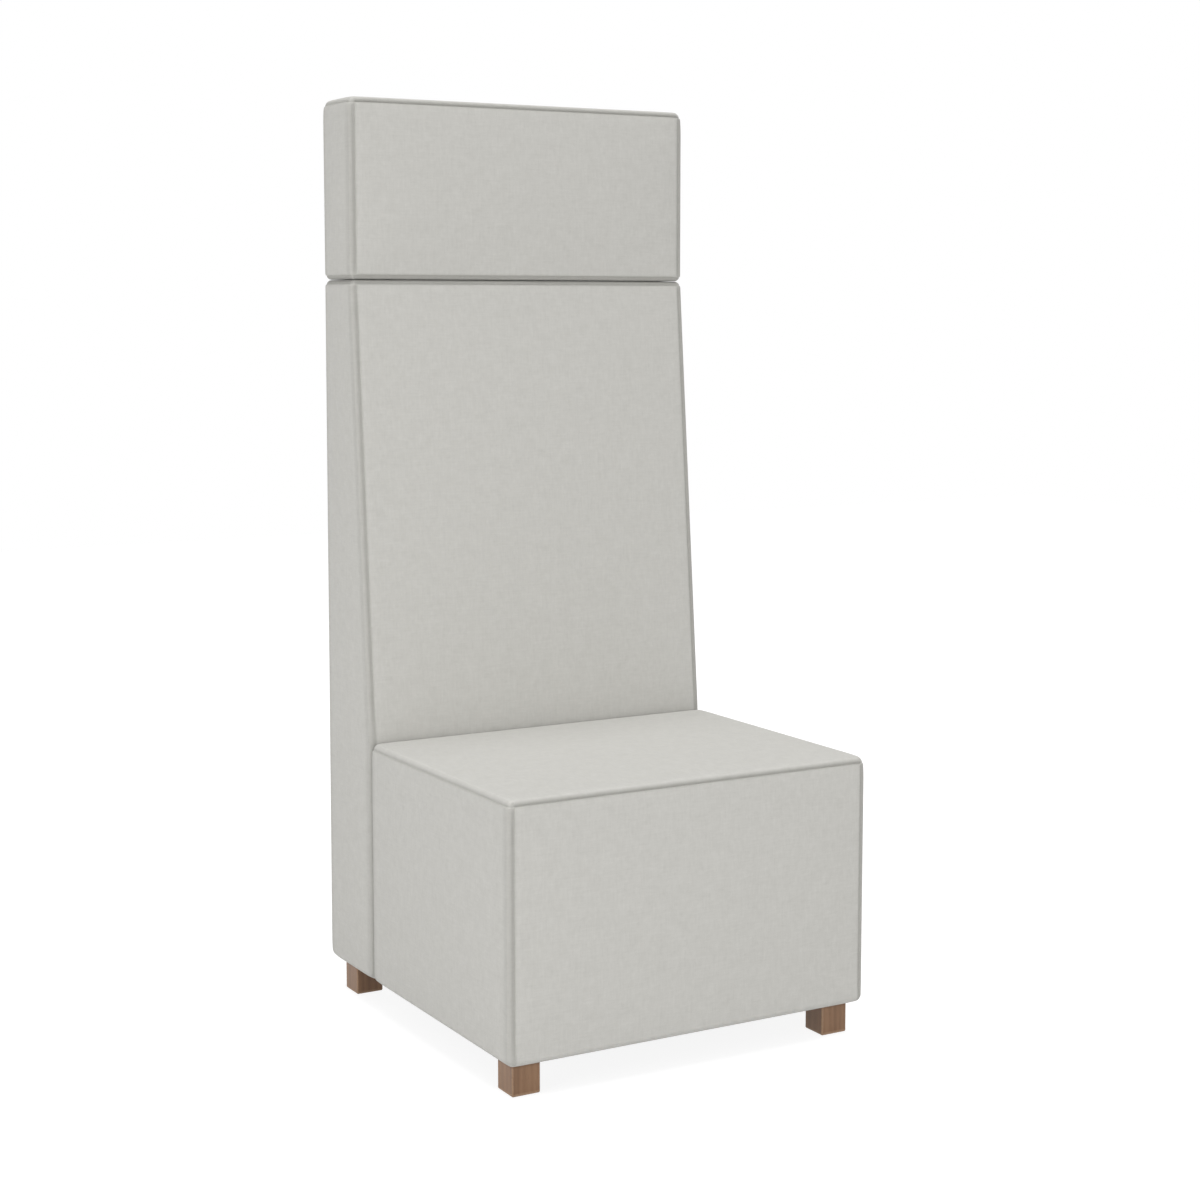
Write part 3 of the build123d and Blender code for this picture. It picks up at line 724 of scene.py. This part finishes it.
def loopSeams(block):
    # seams all round, where the top or bottom panel meets the sides
    on, rims, gaps, box = block.on, block.rims, block.gaps, block.box
    acrossFront = np.minimum(rims["left"], rims["right"])
    acrossSide = np.minimum(rims["front"], rims["rear"])
    upright = np.where(on["front"] | on["rear"], acrossFront, acrossSide)
    least = seamShape["loopAtEdge"]
    fade = least + (1 - least) * smoothStep(0, seamShape["edgeFade"], upright)
    toSide = np.where(on["left"] | on["right"], smoothStep(0, 2 * block.turn, upright), 0)
    fade *= 1 - (1 - seamShape["sideLoop"]) * toSide
    nearestSide = np.min([rims[side] for side in sides], axis=0)
    seams = []
    for face, (seamAt, stripShade) in block.cover["loops"].items():
        reach = block.clothTo(seamAt)
        onPanel = np.where(on[face], reach + nearestSide, farOff)
        lines = []
        for side in sides:
            line = np.flatnonzero(on[side] & (np.abs(gaps[face] - seamAt) < touching))
            lines.append(line[np.argsort(box[line, 1 - faces[side][0]])])
        seams.append({
            "away": np.where(block.onSide, np.abs(rims[face] - reach), onPanel),   # along the cloth
            "strip": on[face] | (block.onSide & (gaps[face] < seamAt)),            # the side that turns
            "shade": (stripShade, seamShape["loopShadeReach"]),
            "flat": seamShape["loopFlat"],
            "fade": fade,
            "depth": 1.0,
            "place": box[:, 0] + box[:, 1],
            "lines": lines,
        })
    return seams


def uprightSeams(block, loops):
    # seams from loop to loop, where the side panels turn on to front and rear
    cover, on, rims, gaps, box = block.cover, block.on, block.rims, block.gaps, block.box
    loopGap = np.min([seam["away"] for seam in loops], axis=0)
    least, lowest = seamShape["uprightAtLoop"], seamShape["uprightLowest"]
    fade = least + (1 - least) * smoothStep(0, seamShape["edgeFade"], loopGap)
    past = np.zeros(len(box))
    between = np.ones(len(box), bool)
    for loop, (seamAt, stripShade) in cover["loops"].items():
        beyond = np.maximum(block.clothTo(seamAt) - rims[loop], 0)
        past += np.where(block.onSide, beyond, np.where(on[loop], farOff, 0))
        between &= gaps[loop] > seamAt
    ground = {"front": cover.get("slopeFrom", block.low[2]), "rear": block.low[2]}
    seams = []
    for face, foot in ground.items():
        depth = lowest + (1 - lowest) * smoothStep(0, seamShape["lowerEnd"], box[:, 2] - foot)
        if "bottom" in cover["loops"]:
            depth = 1.0
        for side in ("left", "right"):
            onPanel = np.where(on[side], block.turn + rims[face], farOff)
            away = np.where(on[face], np.abs(rims[side] - block.turn), onPanel)
            line = np.flatnonzero(between & on[face] & (np.abs(gaps[side] - block.radius) < touching))
            seams.append({
                "away": np.hypot(away, past),
                "strip": on[side] | (gaps[side] < block.radius),
                "shade": seamShape["uprightShade"],
                "flat": seamShape["uprightFlat"],
                "fade": fade,
                "depth": depth,
                "place": box[:, 2],
                "lines": [line[np.argsort(box[line, 2])]],
            })
    return seams


def pressedFolds(block, fade):
    press = np.zeros(len(block.box))
    for face in block.cover["pressed"]:
        for side in ("left", "right"):
            fold = np.where(block.on[side], np.abs(block.rims[face] - block.turn), farOff)
            press = np.maximum(press, np.exp(-(fold / seamShape["pressWidth"]) ** 2) * fade)
    return press


def rollDown(away, reach):
    # 1 at the seam, rounding off to 0 at its reach
    level = 1 - np.minimum(away / reach, 1)
    return 1 - np.sqrt(1 - level**2)


def workSeams(block, seams):
    # cloth puckers a little along each seam and rolls down into it; painted shade is laid along it and
    # between blocks
    faceDrop, faceReach = seamShape["faceDrop"]
    puffDrop, puffReach = seamShape["puffDrop"]
    lineShade, lineReach = seamShape["lineShade"]
    phases = np.random.RandomState(puckers["seed"] + block.cover["row"])
    pucker, sunk, shade = np.zeros((3, len(block.box)))
    for seam in seams:
        away, strip, fade = seam["away"], seam["strip"], seam["fade"]
        wave = np.zeros(len(away))
        for length in puckers["waves"]:
            wave += np.sin(2 * np.pi * (seam["place"] / length + phases.rand())) / len(puckers["waves"])
        pucker += wave * np.exp(-away / puckers["reach"]) * smoothStep(*puckers["clear"], away) * fade
        beyond = np.maximum(away - seam["flat"], 0)
        faceFall = faceDrop * rollDown(away, faceReach) + puffDrop * rollDown(away, puffReach)
        stripFall = (faceDrop + puffDrop) * rollDown(beyond, seamShape["stripReach"])
        sunk = np.maximum(sunk, np.where(strip, stripFall, faceFall) * fade * seam["depth"])
        stripShade, shadeReach = seam["shade"]
        line = lineShade * np.exp(-(away / lineReach) ** 2)
        ramp = stripShade * np.maximum(1 - beyond / shadeReach, 0)
        shade = np.maximum(shade, np.where(strip, np.maximum(ramp, line), line) * fade)
    gapShade, gapReach = seamShape["gapShade"]
    for face in block.cover["against"]:
        hidden = gapShade * (1 - smoothStep(0, gapReach, block.rims[face]))
        shade = np.where(block.onSide | block.on[face], np.maximum(shade, hidden), shade)
    return pucker, sunk, shade


def layCloth(mesh, block):
    # cloth lay for the weave: a strip beyond a seam belongs to the panel that turns on to it
    cover, radius = block.cover, block.radius
    stepAcross, stepUp = coverGrid["panelOffset"]
    offsets = {face: (stepAcross * i, stepUp * cover["row"]) for i, face in enumerate(faces)}
    span = block.high - block.low
    flat = [flatLay(block.box[:, i] - block.low[i], span[i], radius) for i in range(3)]
    flatAxes = [(1, 2), (0, 2), (0, 1)]
    turnsOn = {"front": ("left", "right"), "rear": ("left", "right")}
    layer = mesh.uv_layers.new(name="clothLay")
    lay = np.empty((len(mesh.loops), 2))
    at = 0
    for quad, face in zip(block.quads, block.owners):
        panel = face
        if face in sides:
            for other in (*cover["loops"], *turnsOn.get(face, ())):
                if block.gaps[other][quad].mean() < cover["loops"].get(other, (radius,))[0]:
                    panel = other
                    break
        axis, side = faces[face]
        across, up = flatAxes[faces[panel][0]]
        for corner in quad:
            spot = [flat[i][corner] for i in range(3)]
            if panel != face:
                spot[axis] += block.rims[panel][corner] * (1 if side else -1)
            lay[at] = spot[across] + offsets[panel][0], spot[up] + offsets[panel][1]
            at += 1
    layer.data.foreach_set("uv", lay.ravel())


def sharpenSeams(mesh, seamPoints):
    # seam lines stay sharp when the cover is subdivided
    ends = np.empty(len(mesh.edges) * 2, int)
    mesh.edges.foreach_get("vertices", ends)
    ends = ends.reshape(-1, 2)
    sharp = np.zeros(len(ends))
    for line in seamPoints:
        inLine = np.zeros(len(mesh.vertices), bool)
        inLine[line] = True
        sharp[inLine[ends[:, 0]] & inLine[ends[:, 1]]] = 1.0
    crease = mesh.attributes.new("crease_edge", "FLOAT", "EDGE")
    crease.data.foreach_set("value", sharp)


def newPiece(name, mesh, material):
    obj = bpy.data.objects.new(name, mesh)
    scene.collection.objects.link(obj)
    mesh.materials.clear()
    mesh.materials.append(material)
    return obj


def shadeSmooth(mesh):
    mesh.polygons.foreach_set("use_smooth", [True] * len(mesh.polygons))


def subdivide(obj):
    # one level, kept as a plain mesh
    rule = obj.modifiers.new("round", "SUBSURF")
    rule.levels = 1
    rule.render_levels = 1
    graph = bpy.context.evaluated_depsgraph_get()
    shaped = obj.evaluated_get(graph)
    finer = bpy.data.meshes.new_from_object(shaped, preserve_all_data_layers=True, depsgraph=graph)
    obj.modifiers.remove(rule)
    coarse = obj.data
    obj.data = finer
    bpy.data.meshes.remove(coarse)
    finer.name = obj.name
    shadeSmooth(finer)


def sewCover(cover):
    block = Block(cover)
    mesh = bpy.data.meshes.new(cover["name"])
    mesh.from_pydata(block.base.tolist(), [], block.quads)
    obj = newPiece(cover["name"], mesh, linenWeave)
    moves = crownPanels(block, obj)
    loops = loopSeams(block)
    uprights = uprightSeams(block, loops)
    seams = loops + uprights
    pucker, sunk, shade = workSeams(block, seams)
    press = pressedFolds(block, uprights[0]["fade"])
    lift = moves + puckers["depth"] * pucker - sunk - seamShape["pressDepth"] * press
    final = block.base + block.outward * lift[:, None]
    mesh.vertices.foreach_set("co", final.ravel())
    layCloth(mesh, block)
    # painted shade along the seams and between blocks, read by the cloth's finish
    near = mesh.attributes.new("seamNear", "FLOAT", "POINT")
    near.data.foreach_set("value", shade)
    seamPoints = [line for seam in seams for line in seam["lines"]]
    sharpenSeams(mesh, seamPoints)
    mesh.update()
    subdivide(obj)
    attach(obj, "root")
    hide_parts(cover["node"], *cover["hides"])
    print(cover["name"], "sewn:", len(obj.data.polygons), "faces")
    return [(final[line], block.outward[line]) for line in seamPoints]


seamLines = {}
for cover in (seatCover, backCover, headrestCover):
    seamLines[cover["name"]] = sewCover(cover)


class Repeat(Bench):
    # a geometry tree that sets one small shape along paths, with named inputs for its sizes
    def __init__(self, name, sizes):
        tree = bpy.data.node_groups.new(name, "GeometryNodeTree")
        tree.is_modifier = True
        super().__init__(tree)
        self.sizes = sizes
        self.keys = {}
        self.addInput("Path", "NodeSocketGeometry")
        for title, value in sizes.items():
            self.addInput(title, "NodeSocketInt" if isinstance(value, int) else "NodeSocketFloat")
        self.addInput("Material", "NodeSocketMaterial")
        tree.interface.new_socket(name="Geometry", in_out="OUTPUT", socket_type="NodeSocketGeometry")
        self.entry = tree.nodes.new("NodeGroupInput")

    def addInput(self, title, kind):
        made = self.tree.interface.new_socket(name=title, in_out="INPUT", socket_type=kind)
        self.keys[title] = made.identifier

    def given(self, title):
        return Flow(self, self.entry.outputs[title])

    def vector(self, **parts):
        return self.node("ShaderNodeCombineXYZ", None, parts)

    def pointsAlong(self):
        curve = self.node("GeometryNodeMeshToCurve", None, {"Mesh": self.given("Path")})
        sockets = {"Curve": curve, "Length": self.given("Pitch")}
        return self.node("GeometryNodeCurveToPoints", {"mode": "LENGTH"}, sockets)

    def aligned(self, points):
        # local X runs along the path
        run = self.other(points, "Tangent")
        return self.node("FunctionNodeAlignRotationToVector", {"axis": "X"}, {"Vector": run})

    def spun(self, rotation, least, most):
        # turned about its own Z by a random angle
        limits = {2: least, 3: most, "Seed": self.given("Seed")}
        angle = self.node("FunctionNodeRandomValue", {"data_type": "FLOAT"}, limits, out=1)
        own = self.node("FunctionNodeEulerToRotation", None, {"Euler": self.vector(Z=angle)})
        sockets = {"Rotation": rotation, "Rotate By": own}
        return self.node("FunctionNodeRotateRotation", {"rotation_space": "LOCAL"}, sockets)

    def close(self, points, shape, rotation):
        sockets = {"Points": points, "Instance": shape, "Rotation": rotation}
        shapes = self.node("GeometryNodeInstanceOnPoints", None, sockets)
        real = self.node("GeometryNodeRealizeInstances", None, {"Geometry": shapes})
        soft = self.node("GeometryNodeSetShadeSmooth", None, {"Geometry": real})
        sockets = {"Geometry": soft, "Material": self.given("Material")}
        painted = self.node("GeometryNodeSetMaterial", None, sockets)
        self.node("NodeGroupOutput", None, {"Geometry": painted})

    def along(self, name, lines, material):
        # runs the tree on paths of (points, outward directions) and keeps an ordinary mesh
        points, edges, normals = [], [], []
        for line, out in lines:
            edges += [(len(points) + i, len(points) + i + 1) for i in range(len(line) - 1)]
            points += [tuple(p) for p in line]
            normals += [tuple(n) for n in out]
        path = bpy.data.meshes.new(name + "Path")
        path.from_pydata(points, edges, [])
        store = path.attributes.new("outward", "FLOAT_VECTOR", "POINT")
        store.data.foreach_set("vector", np.array(normals).ravel())
        holder = bpy.data.objects.new(name + "Path", path)
        scene.collection.objects.link(holder)
        rule = holder.modifiers.new(name, "NODES")
        rule.node_group = self.tree
        for title, value in {**self.sizes, "Material": material}.items():
            rule[self.keys[title]] = value
        graph = bpy.context.evaluated_depsgraph_get()
        mesh = bpy.data.meshes.new_from_object(holder.evaluated_get(graph), depsgraph=graph)
        mesh.name = name
        bpy.data.objects.remove(holder)
        bpy.data.meshes.remove(path)
        return newPiece(name, mesh, material)


# Short stitches at the bottom of every seam
stitching = {
    "Pitch": 0.0042,
    "Length": 0.0026,
    "Thickness": 0.00055,
    "Lift": 0.00035,
    "Slant": 0.35,
    "Seed": 7,
}
stitchSlants = (0.6, 1.4)      # least and most, as shares of the slant
bareEnd = 7                    # grid points at each end of a seam that have no stitches


def stitchTree():
    g = Repeat("seamStitches", stitching)
    points = g.pointsAlong()
    out = g.node("GeometryNodeInputNamedAttribute", {"data_type": "FLOAT_VECTOR"}, {"Name": "outward"})
    settings = {"axis": "Z", "pivot_axis": "X"}
    sockets = {"Rotation": g.aligned(points), "Vector": out}
    turned = g.node("FunctionNodeAlignRotationToVector", settings, sockets)
    least, most = (g.given("Slant") * share for share in stitchSlants)
    bead = g.node("GeometryNodeMeshUVSphere", None, {"Segments": 6, "Rings": 5, "Radius": 0.5})
    size = g.vector(X=g.given("Thickness"), Y=g.given("Length"), Z=g.given("Thickness"))
    rise = g.vector(Z=g.given("Lift"))
    thread = g.node("GeometryNodeTransform", None, {"Geometry": bead, "Scale": size, "Translation": rise})
    g.close(points, thread, g.spun(turned, least, most))
    return g


stitches = stitchTree()
for coverName, lines in seamLines.items():
    trimmed = [(line[bareEnd:-bareEnd], out[bareEnd:-bareEnd]) for line, out in lines]
    name = coverName.replace("Upholstery", "Stitches")
    thread = stitches.along(name, trimmed, seamThread)
    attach(thread, "root")
    print(name, "sewn:", len(thread.data.polygons), "faces")


# Black cloth under the seat and the back, turned in at its edges and stapled to the frame
dustCloth = {
    "pieces": {            # the CAD node that each stands for, and the cover that it lies under
        "seatDustCloth": ("seat_dust_cover", "seatUpholstery"),
        "backDustCloth": ("back_dust_cover", "backUpholstery"),
    },
    "step": 0.012,
    "rimLines": [0, 0.003, 0.007, 0.011, 0.0145, 0.0165, 0.0185, 0.024, 0.032],
    "hem": 0.016,
    "hemSoft": 0.002,
    "hemRise": 0.0004,
    "sag": 0.0035,
    "thickness": 0.0005,
    "clearance": 0.0002,
    "puckerDeep": 0.0006,
    "puckerReach": 0.022,
    "edgeFlat": 0.004,
    "stapleInset": 0.008,
    "stapleRun": (0.03, 0.97),     # part of each side that has staples
    "stapleSteps": 24,
    "footClear": (0.002, 0.030),   # pressed flat this near a foot, and free from here on
}

stapling = {
    "Pitch": 0.040,
    "Width": 0.0105,
    "Wire": 0.0011,
    "Tilt": 0.22,
    "Seed": 3,
}

feetNodes = ["foot_front_left", "foot_front_right", "foot_rear_left", "foot_rear_right"]


def clothDrop(gridX, gridY, low, high):
    # how far the cloth hangs below the frame
    side = np.minimum(gridX - low[0], high[0] - gridX)
    end = np.minimum(gridY - low[1], high[1] - gridY)
    rim = np.minimum(side, end)
    u = (gridX - low[0]) / (high[0] - low[0]) * 2 - 1
    v = (gridY - low[1]) / (high[1] - low[1]) * 2 - 1
    drop = dustCloth["sag"] * (1 - u**2) * (1 - v**2)
    # pulled flat at the staples and a little loose between them
    run = np.where(side < end, gridY, gridX)
    loose = 0.5 - 0.5 * np.cos(2 * np.pi * (run - low[1]) / stapling["Pitch"])
    nearRim = np.exp(-rim / dustCloth["puckerReach"]) * smoothStep(0, dustCloth["edgeFlat"], rim)
    drop += dustCloth["puckerDeep"] * loose * nearRim
    hem, soft = dustCloth["hem"], dustCloth["hemSoft"]
    drop += dustCloth["hemRise"] * (1 - smoothStep(hem - soft, hem + soft, rim))
    for foot in feetNodes:
        footLow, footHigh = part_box(foot)
        dx = np.maximum(np.maximum(footLow.x - gridX, gridX - footHigh.x), 0)
        dy = np.maximum(np.maximum(footLow.y - gridY, gridY - footHigh.y), 0)
        drop = drop * smoothStep(*dustCloth["footClear"], np.hypot(dx, dy))
    return drop


def stretchCloth(name, node):
    low, high = (np.array(corner, float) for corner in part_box(node))
    rim = dustCloth["rimLines"]
    xs, ys = (low[i] + spreadLines(rim, rim, high[i] - low[i], dustCloth["step"]) for i in range(2))
    gridX, gridY = (a.ravel() for a in np.meshgrid(xs, ys, indexing="ij"))
    top = high[2] - dustCloth["clearance"]
    points = np.stack([gridX, gridY, top - clothDrop(gridX, gridY, low, high)], 1)
    wide, long = len(xs), len(ys)
    quads = [
        [i * long + j, i * long + j + 1, (i + 1) * long + j + 1, (i + 1) * long + j]
        for i in range(wide - 1)
        for j in range(long - 1)
    ]
    mesh = bpy.data.meshes.new(name)
    mesh.from_pydata(points.tolist(), [], quads)
    layer = mesh.uv_layers.new(name="clothLay")
    lay = np.array([points[corner][:2] for quad in quads for corner in quad])
    layer.data.foreach_set("uv", lay.ravel())
    shadeSmooth(mesh)
    obj = newPiece(name, mesh, blackCambric)
    rule = obj.modifiers.new("thick", "SOLIDIFY")
    rule.thickness = dustCloth["thickness"]
    rule.offset = -1
    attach(obj, "root")
    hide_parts(node)
    return staplePaths(low, high, top)


def staplePaths(low, high, top):
    # along the four sides of a dust cloth, just under its hem
    inset = dustCloth["stapleInset"]
    x0, x1, y0, y1 = low[0] + inset, high[0] - inset, low[1] + inset, high[1] - inset
    wire = top - dustCloth["hemRise"] - dustCloth["thickness"] - dustCloth["clearance"]
    corners = [(x0, y0), (x1, y0), (x1, y1), (x0, y1)]
    down = (0.0, 0.0, -1.0)
    steps = np.linspace(*dustCloth["stapleRun"], dustCloth["stapleSteps"])
    paths = []
    for (ax, ay), (bx, by) in zip(corners, corners[1:] + corners[:1]):
        line = [(ax + (bx - ax) * t, ay + (by - ay) * t, wire) for t in steps]
        paths.append((line, [down] * len(line)))
    return paths


def stapleTree():
    # crown of the staple, with its two bent shoulders going into the frame
    g = Repeat("clothStaples", stapling)
    points = g.pointsAlong()
    tilt = g.given("Tilt")
    half = g.given("Width") * 0.5
    deep = g.given("Wire") * 0.9
    sockets = {
        "Resolution": 6,
        "Start": g.vector(X=half * -1.0, Z=deep),
        "Middle": g.vector(Z=deep * -0.5),
        "End": g.vector(X=half, Z=deep),
    }
    bow = g.node("GeometryNodeCurveQuadraticBezier", None, sockets)
    sockets = {"Resolution": 6, "Radius": g.given("Wire") * 0.5}
    section = g.node("GeometryNodeCurvePrimitiveCircle", None, sockets)
    sockets = {"Curve": bow, "Profile Curve": section, "Fill Caps": True}
    wire = g.node("GeometryNodeCurveToMesh", None, sockets)
    g.close(points, wire, g.spun(g.aligned(points), tilt * -1.0, tilt))
    return g


stapleLines = []
for clothName, (clothNode, coverAbove) in dustCloth["pieces"].items():
    stapleLines += stretchCloth(clothName, clothNode)
staples = stapleTree().along("dustClothStaples", stapleLines, zincPlate)
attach(staples, "root")
print("dust cloths stretched and stapled:", len(staples.data.polygons), "faces of wire")


# Finishes of the parts that stay as the CAD has them
def paint(node, material):
    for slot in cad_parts[node].material_slots:
        slot.material = material


for number, foot in enumerate(feetNodes):
    paint(foot, walnutFinish(foot, walnut["firstSeed"] + walnut["seedStep"] * number))

beechBlock = mottledFinish("beechBlock")
pressedBoard = mottledFinish("pressedBoard")
byName = {
    "seat_springs": mottledFinish("springSteel"),
    "headrest_bars": mottledFinish("blackSteel"),
    "foot_glides": mottledFinish("blackNylon"),
}
zincWords = ("screws", "clips", "bolts", "washers", "nuts")

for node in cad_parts:
    last = node.split("_")[-1]
    if node in byName:
        paint(node, byName[node])
    elif "rear_board" in node:
        paint(node, pressedBoard)
    elif last in ("panel", "board", "rail"):
        paint(node, plywoodFinish(node))
    elif last in ("blocks", "brace"):
        paint(node, beechBlock)
    elif last in zincWords:
        paint(node, zincPlate)
print("feet, frame and hardware finished")


# Studio: white floor and surround, even light with a little more from above
studio = {
    "floorSide": 14.0,
    "floorColour": (0.70, 0.70, 0.70, 1.0),
    "ambient": 0.37,
    "floorGlow": 0.88,
    "floorShade": (0.26, 0.26, 0.26, 1.0),
    "white": (1.0, 1.0, 1.0, 1.0),
    "lamps": {             # side, power, place
        "overheadPanel": (6.0, 518.0, (0.0, -0.7, 9.0)),
        "sidePanel": (2.6, 73.0, (-4.0, -1.0, 0.7)),
        "frontPanel": (2.6, 69.0, (-0.5, -4.2, 0.7)),
        "rearPanel": (2.6, 42.0, (0.5, 4.2, 1.0)),
    },
    "aim": (0.0, 0.0, 0.6),
}

cameraSet = {
    "frame": 1200,         # pixels across
    "focal": 2202.0,       # in the same pixels
    "sensor": 36.0,
    "yaw": -29.86,
    "pitch": 6.06,
    "back": 3.397,
    "aside": 0.01965,
    "height": 1.1086,
    "drop": 0.05,
}


def seenDirect(bench):
    # 1 for what the camera sees straight on, in a mirror or through glass
    camera = bench.node("ShaderNodeLightPath", out="Is Camera Ray")
    shown = camera + bench.other(camera, "Is Glossy Ray") + bench.other(camera, "Is Transmission Ray")
    return bench.maths("MINIMUM", shown, 1.0)


def buildFloor():
    half = studio["floorSide"] / 2
    corners = [(-half, -half, 0), (half, -half, 0), (half, half, 0), (-half, half, 0)]
    mesh = bpy.data.meshes.new("studioFloor")
    mesh.from_pydata(corners, [], [(0, 1, 2, 3)])
    f = Finish("studioWhite")
    bounce = f.node("ShaderNodeBsdfDiffuse", None, {"Color": studio["floorColour"]})
    shaded = f.node("ShaderNodeBsdfDiffuse", None, {"Color": studio["floorShade"]})
    glow = f.node("ShaderNodeEmission", None, {"Strength": studio["floorGlow"]})
    shown = f.node("ShaderNodeAddShader", None, {0: shaded, 1: glow})
    whole = f.node("ShaderNodeMixShader", None, {0: seenDirect(f), 1: bounce, 2: shown})
    f.node("ShaderNodeOutputMaterial", None, {"Surface": whole})
    floor = newPiece("studioFloor", mesh, f.material)


def buildWorld():
    world = bpy.data.worlds.new("studioSurround")
    world.use_nodes = True
    scene.world = world
    b = Bench(world.node_tree)
    sockets = {"Color": studio["white"], "Strength": studio["ambient"]}
    light = b.node("ShaderNodeBackground", None, sockets)
    white = b.node("ShaderNodeBackground", None, {"Color": studio["white"], "Strength": 1.0})
    whole = b.node("ShaderNodeMixShader", None, {0: seenDirect(b), 1: light, 2: white})
    b.node("ShaderNodeOutputWorld", None, {"Surface": whole})


def buildLamps():
    for name, (side, power, place) in studio["lamps"].items():
        lamp = bpy.data.lights.new(name, "AREA")
        lamp.shape = "SQUARE"
        lamp.size = side
        lamp.energy = power
        obj = bpy.data.objects.new(name, lamp)
        obj.location = place
        facing = Vector(studio["aim"]) - Vector(place)
        obj.rotation_euler = facing.to_track_quat("-Z", "Y").to_euler()
        obj.visible_camera = False
        scene.collection.objects.link(obj)


def buildCamera():
    yaw, pitch = math.radians(cameraSet["yaw"]), math.radians(cameraSet["pitch"])
    ahead = np.array([-math.sin(yaw), math.cos(yaw), 0])
    aside = np.array([math.cos(yaw), math.sin(yaw), 0])
    place = aside * cameraSet["aside"] - ahead * cameraSet["back"]
    lens = bpy.data.cameras.new("catalogueView")
    lens.sensor_width = cameraSet["sensor"]
    lens.lens = cameraSet["focal"] * cameraSet["sensor"] / cameraSet["frame"]
    lens.shift_y = -cameraSet["drop"]
    obj = bpy.data.objects.new("catalogueView", lens)
    obj.location = (place[0], place[1], cameraSet["height"])
    obj.rotation_euler = (math.pi / 2 - pitch, 0, yaw)
    scene.collection.objects.link(obj)
    scene.camera = obj


buildFloor()
buildWorld()
buildLamps()
buildCamera()
scene.view_settings.view_transform = "Standard"
print("studio and camera set")
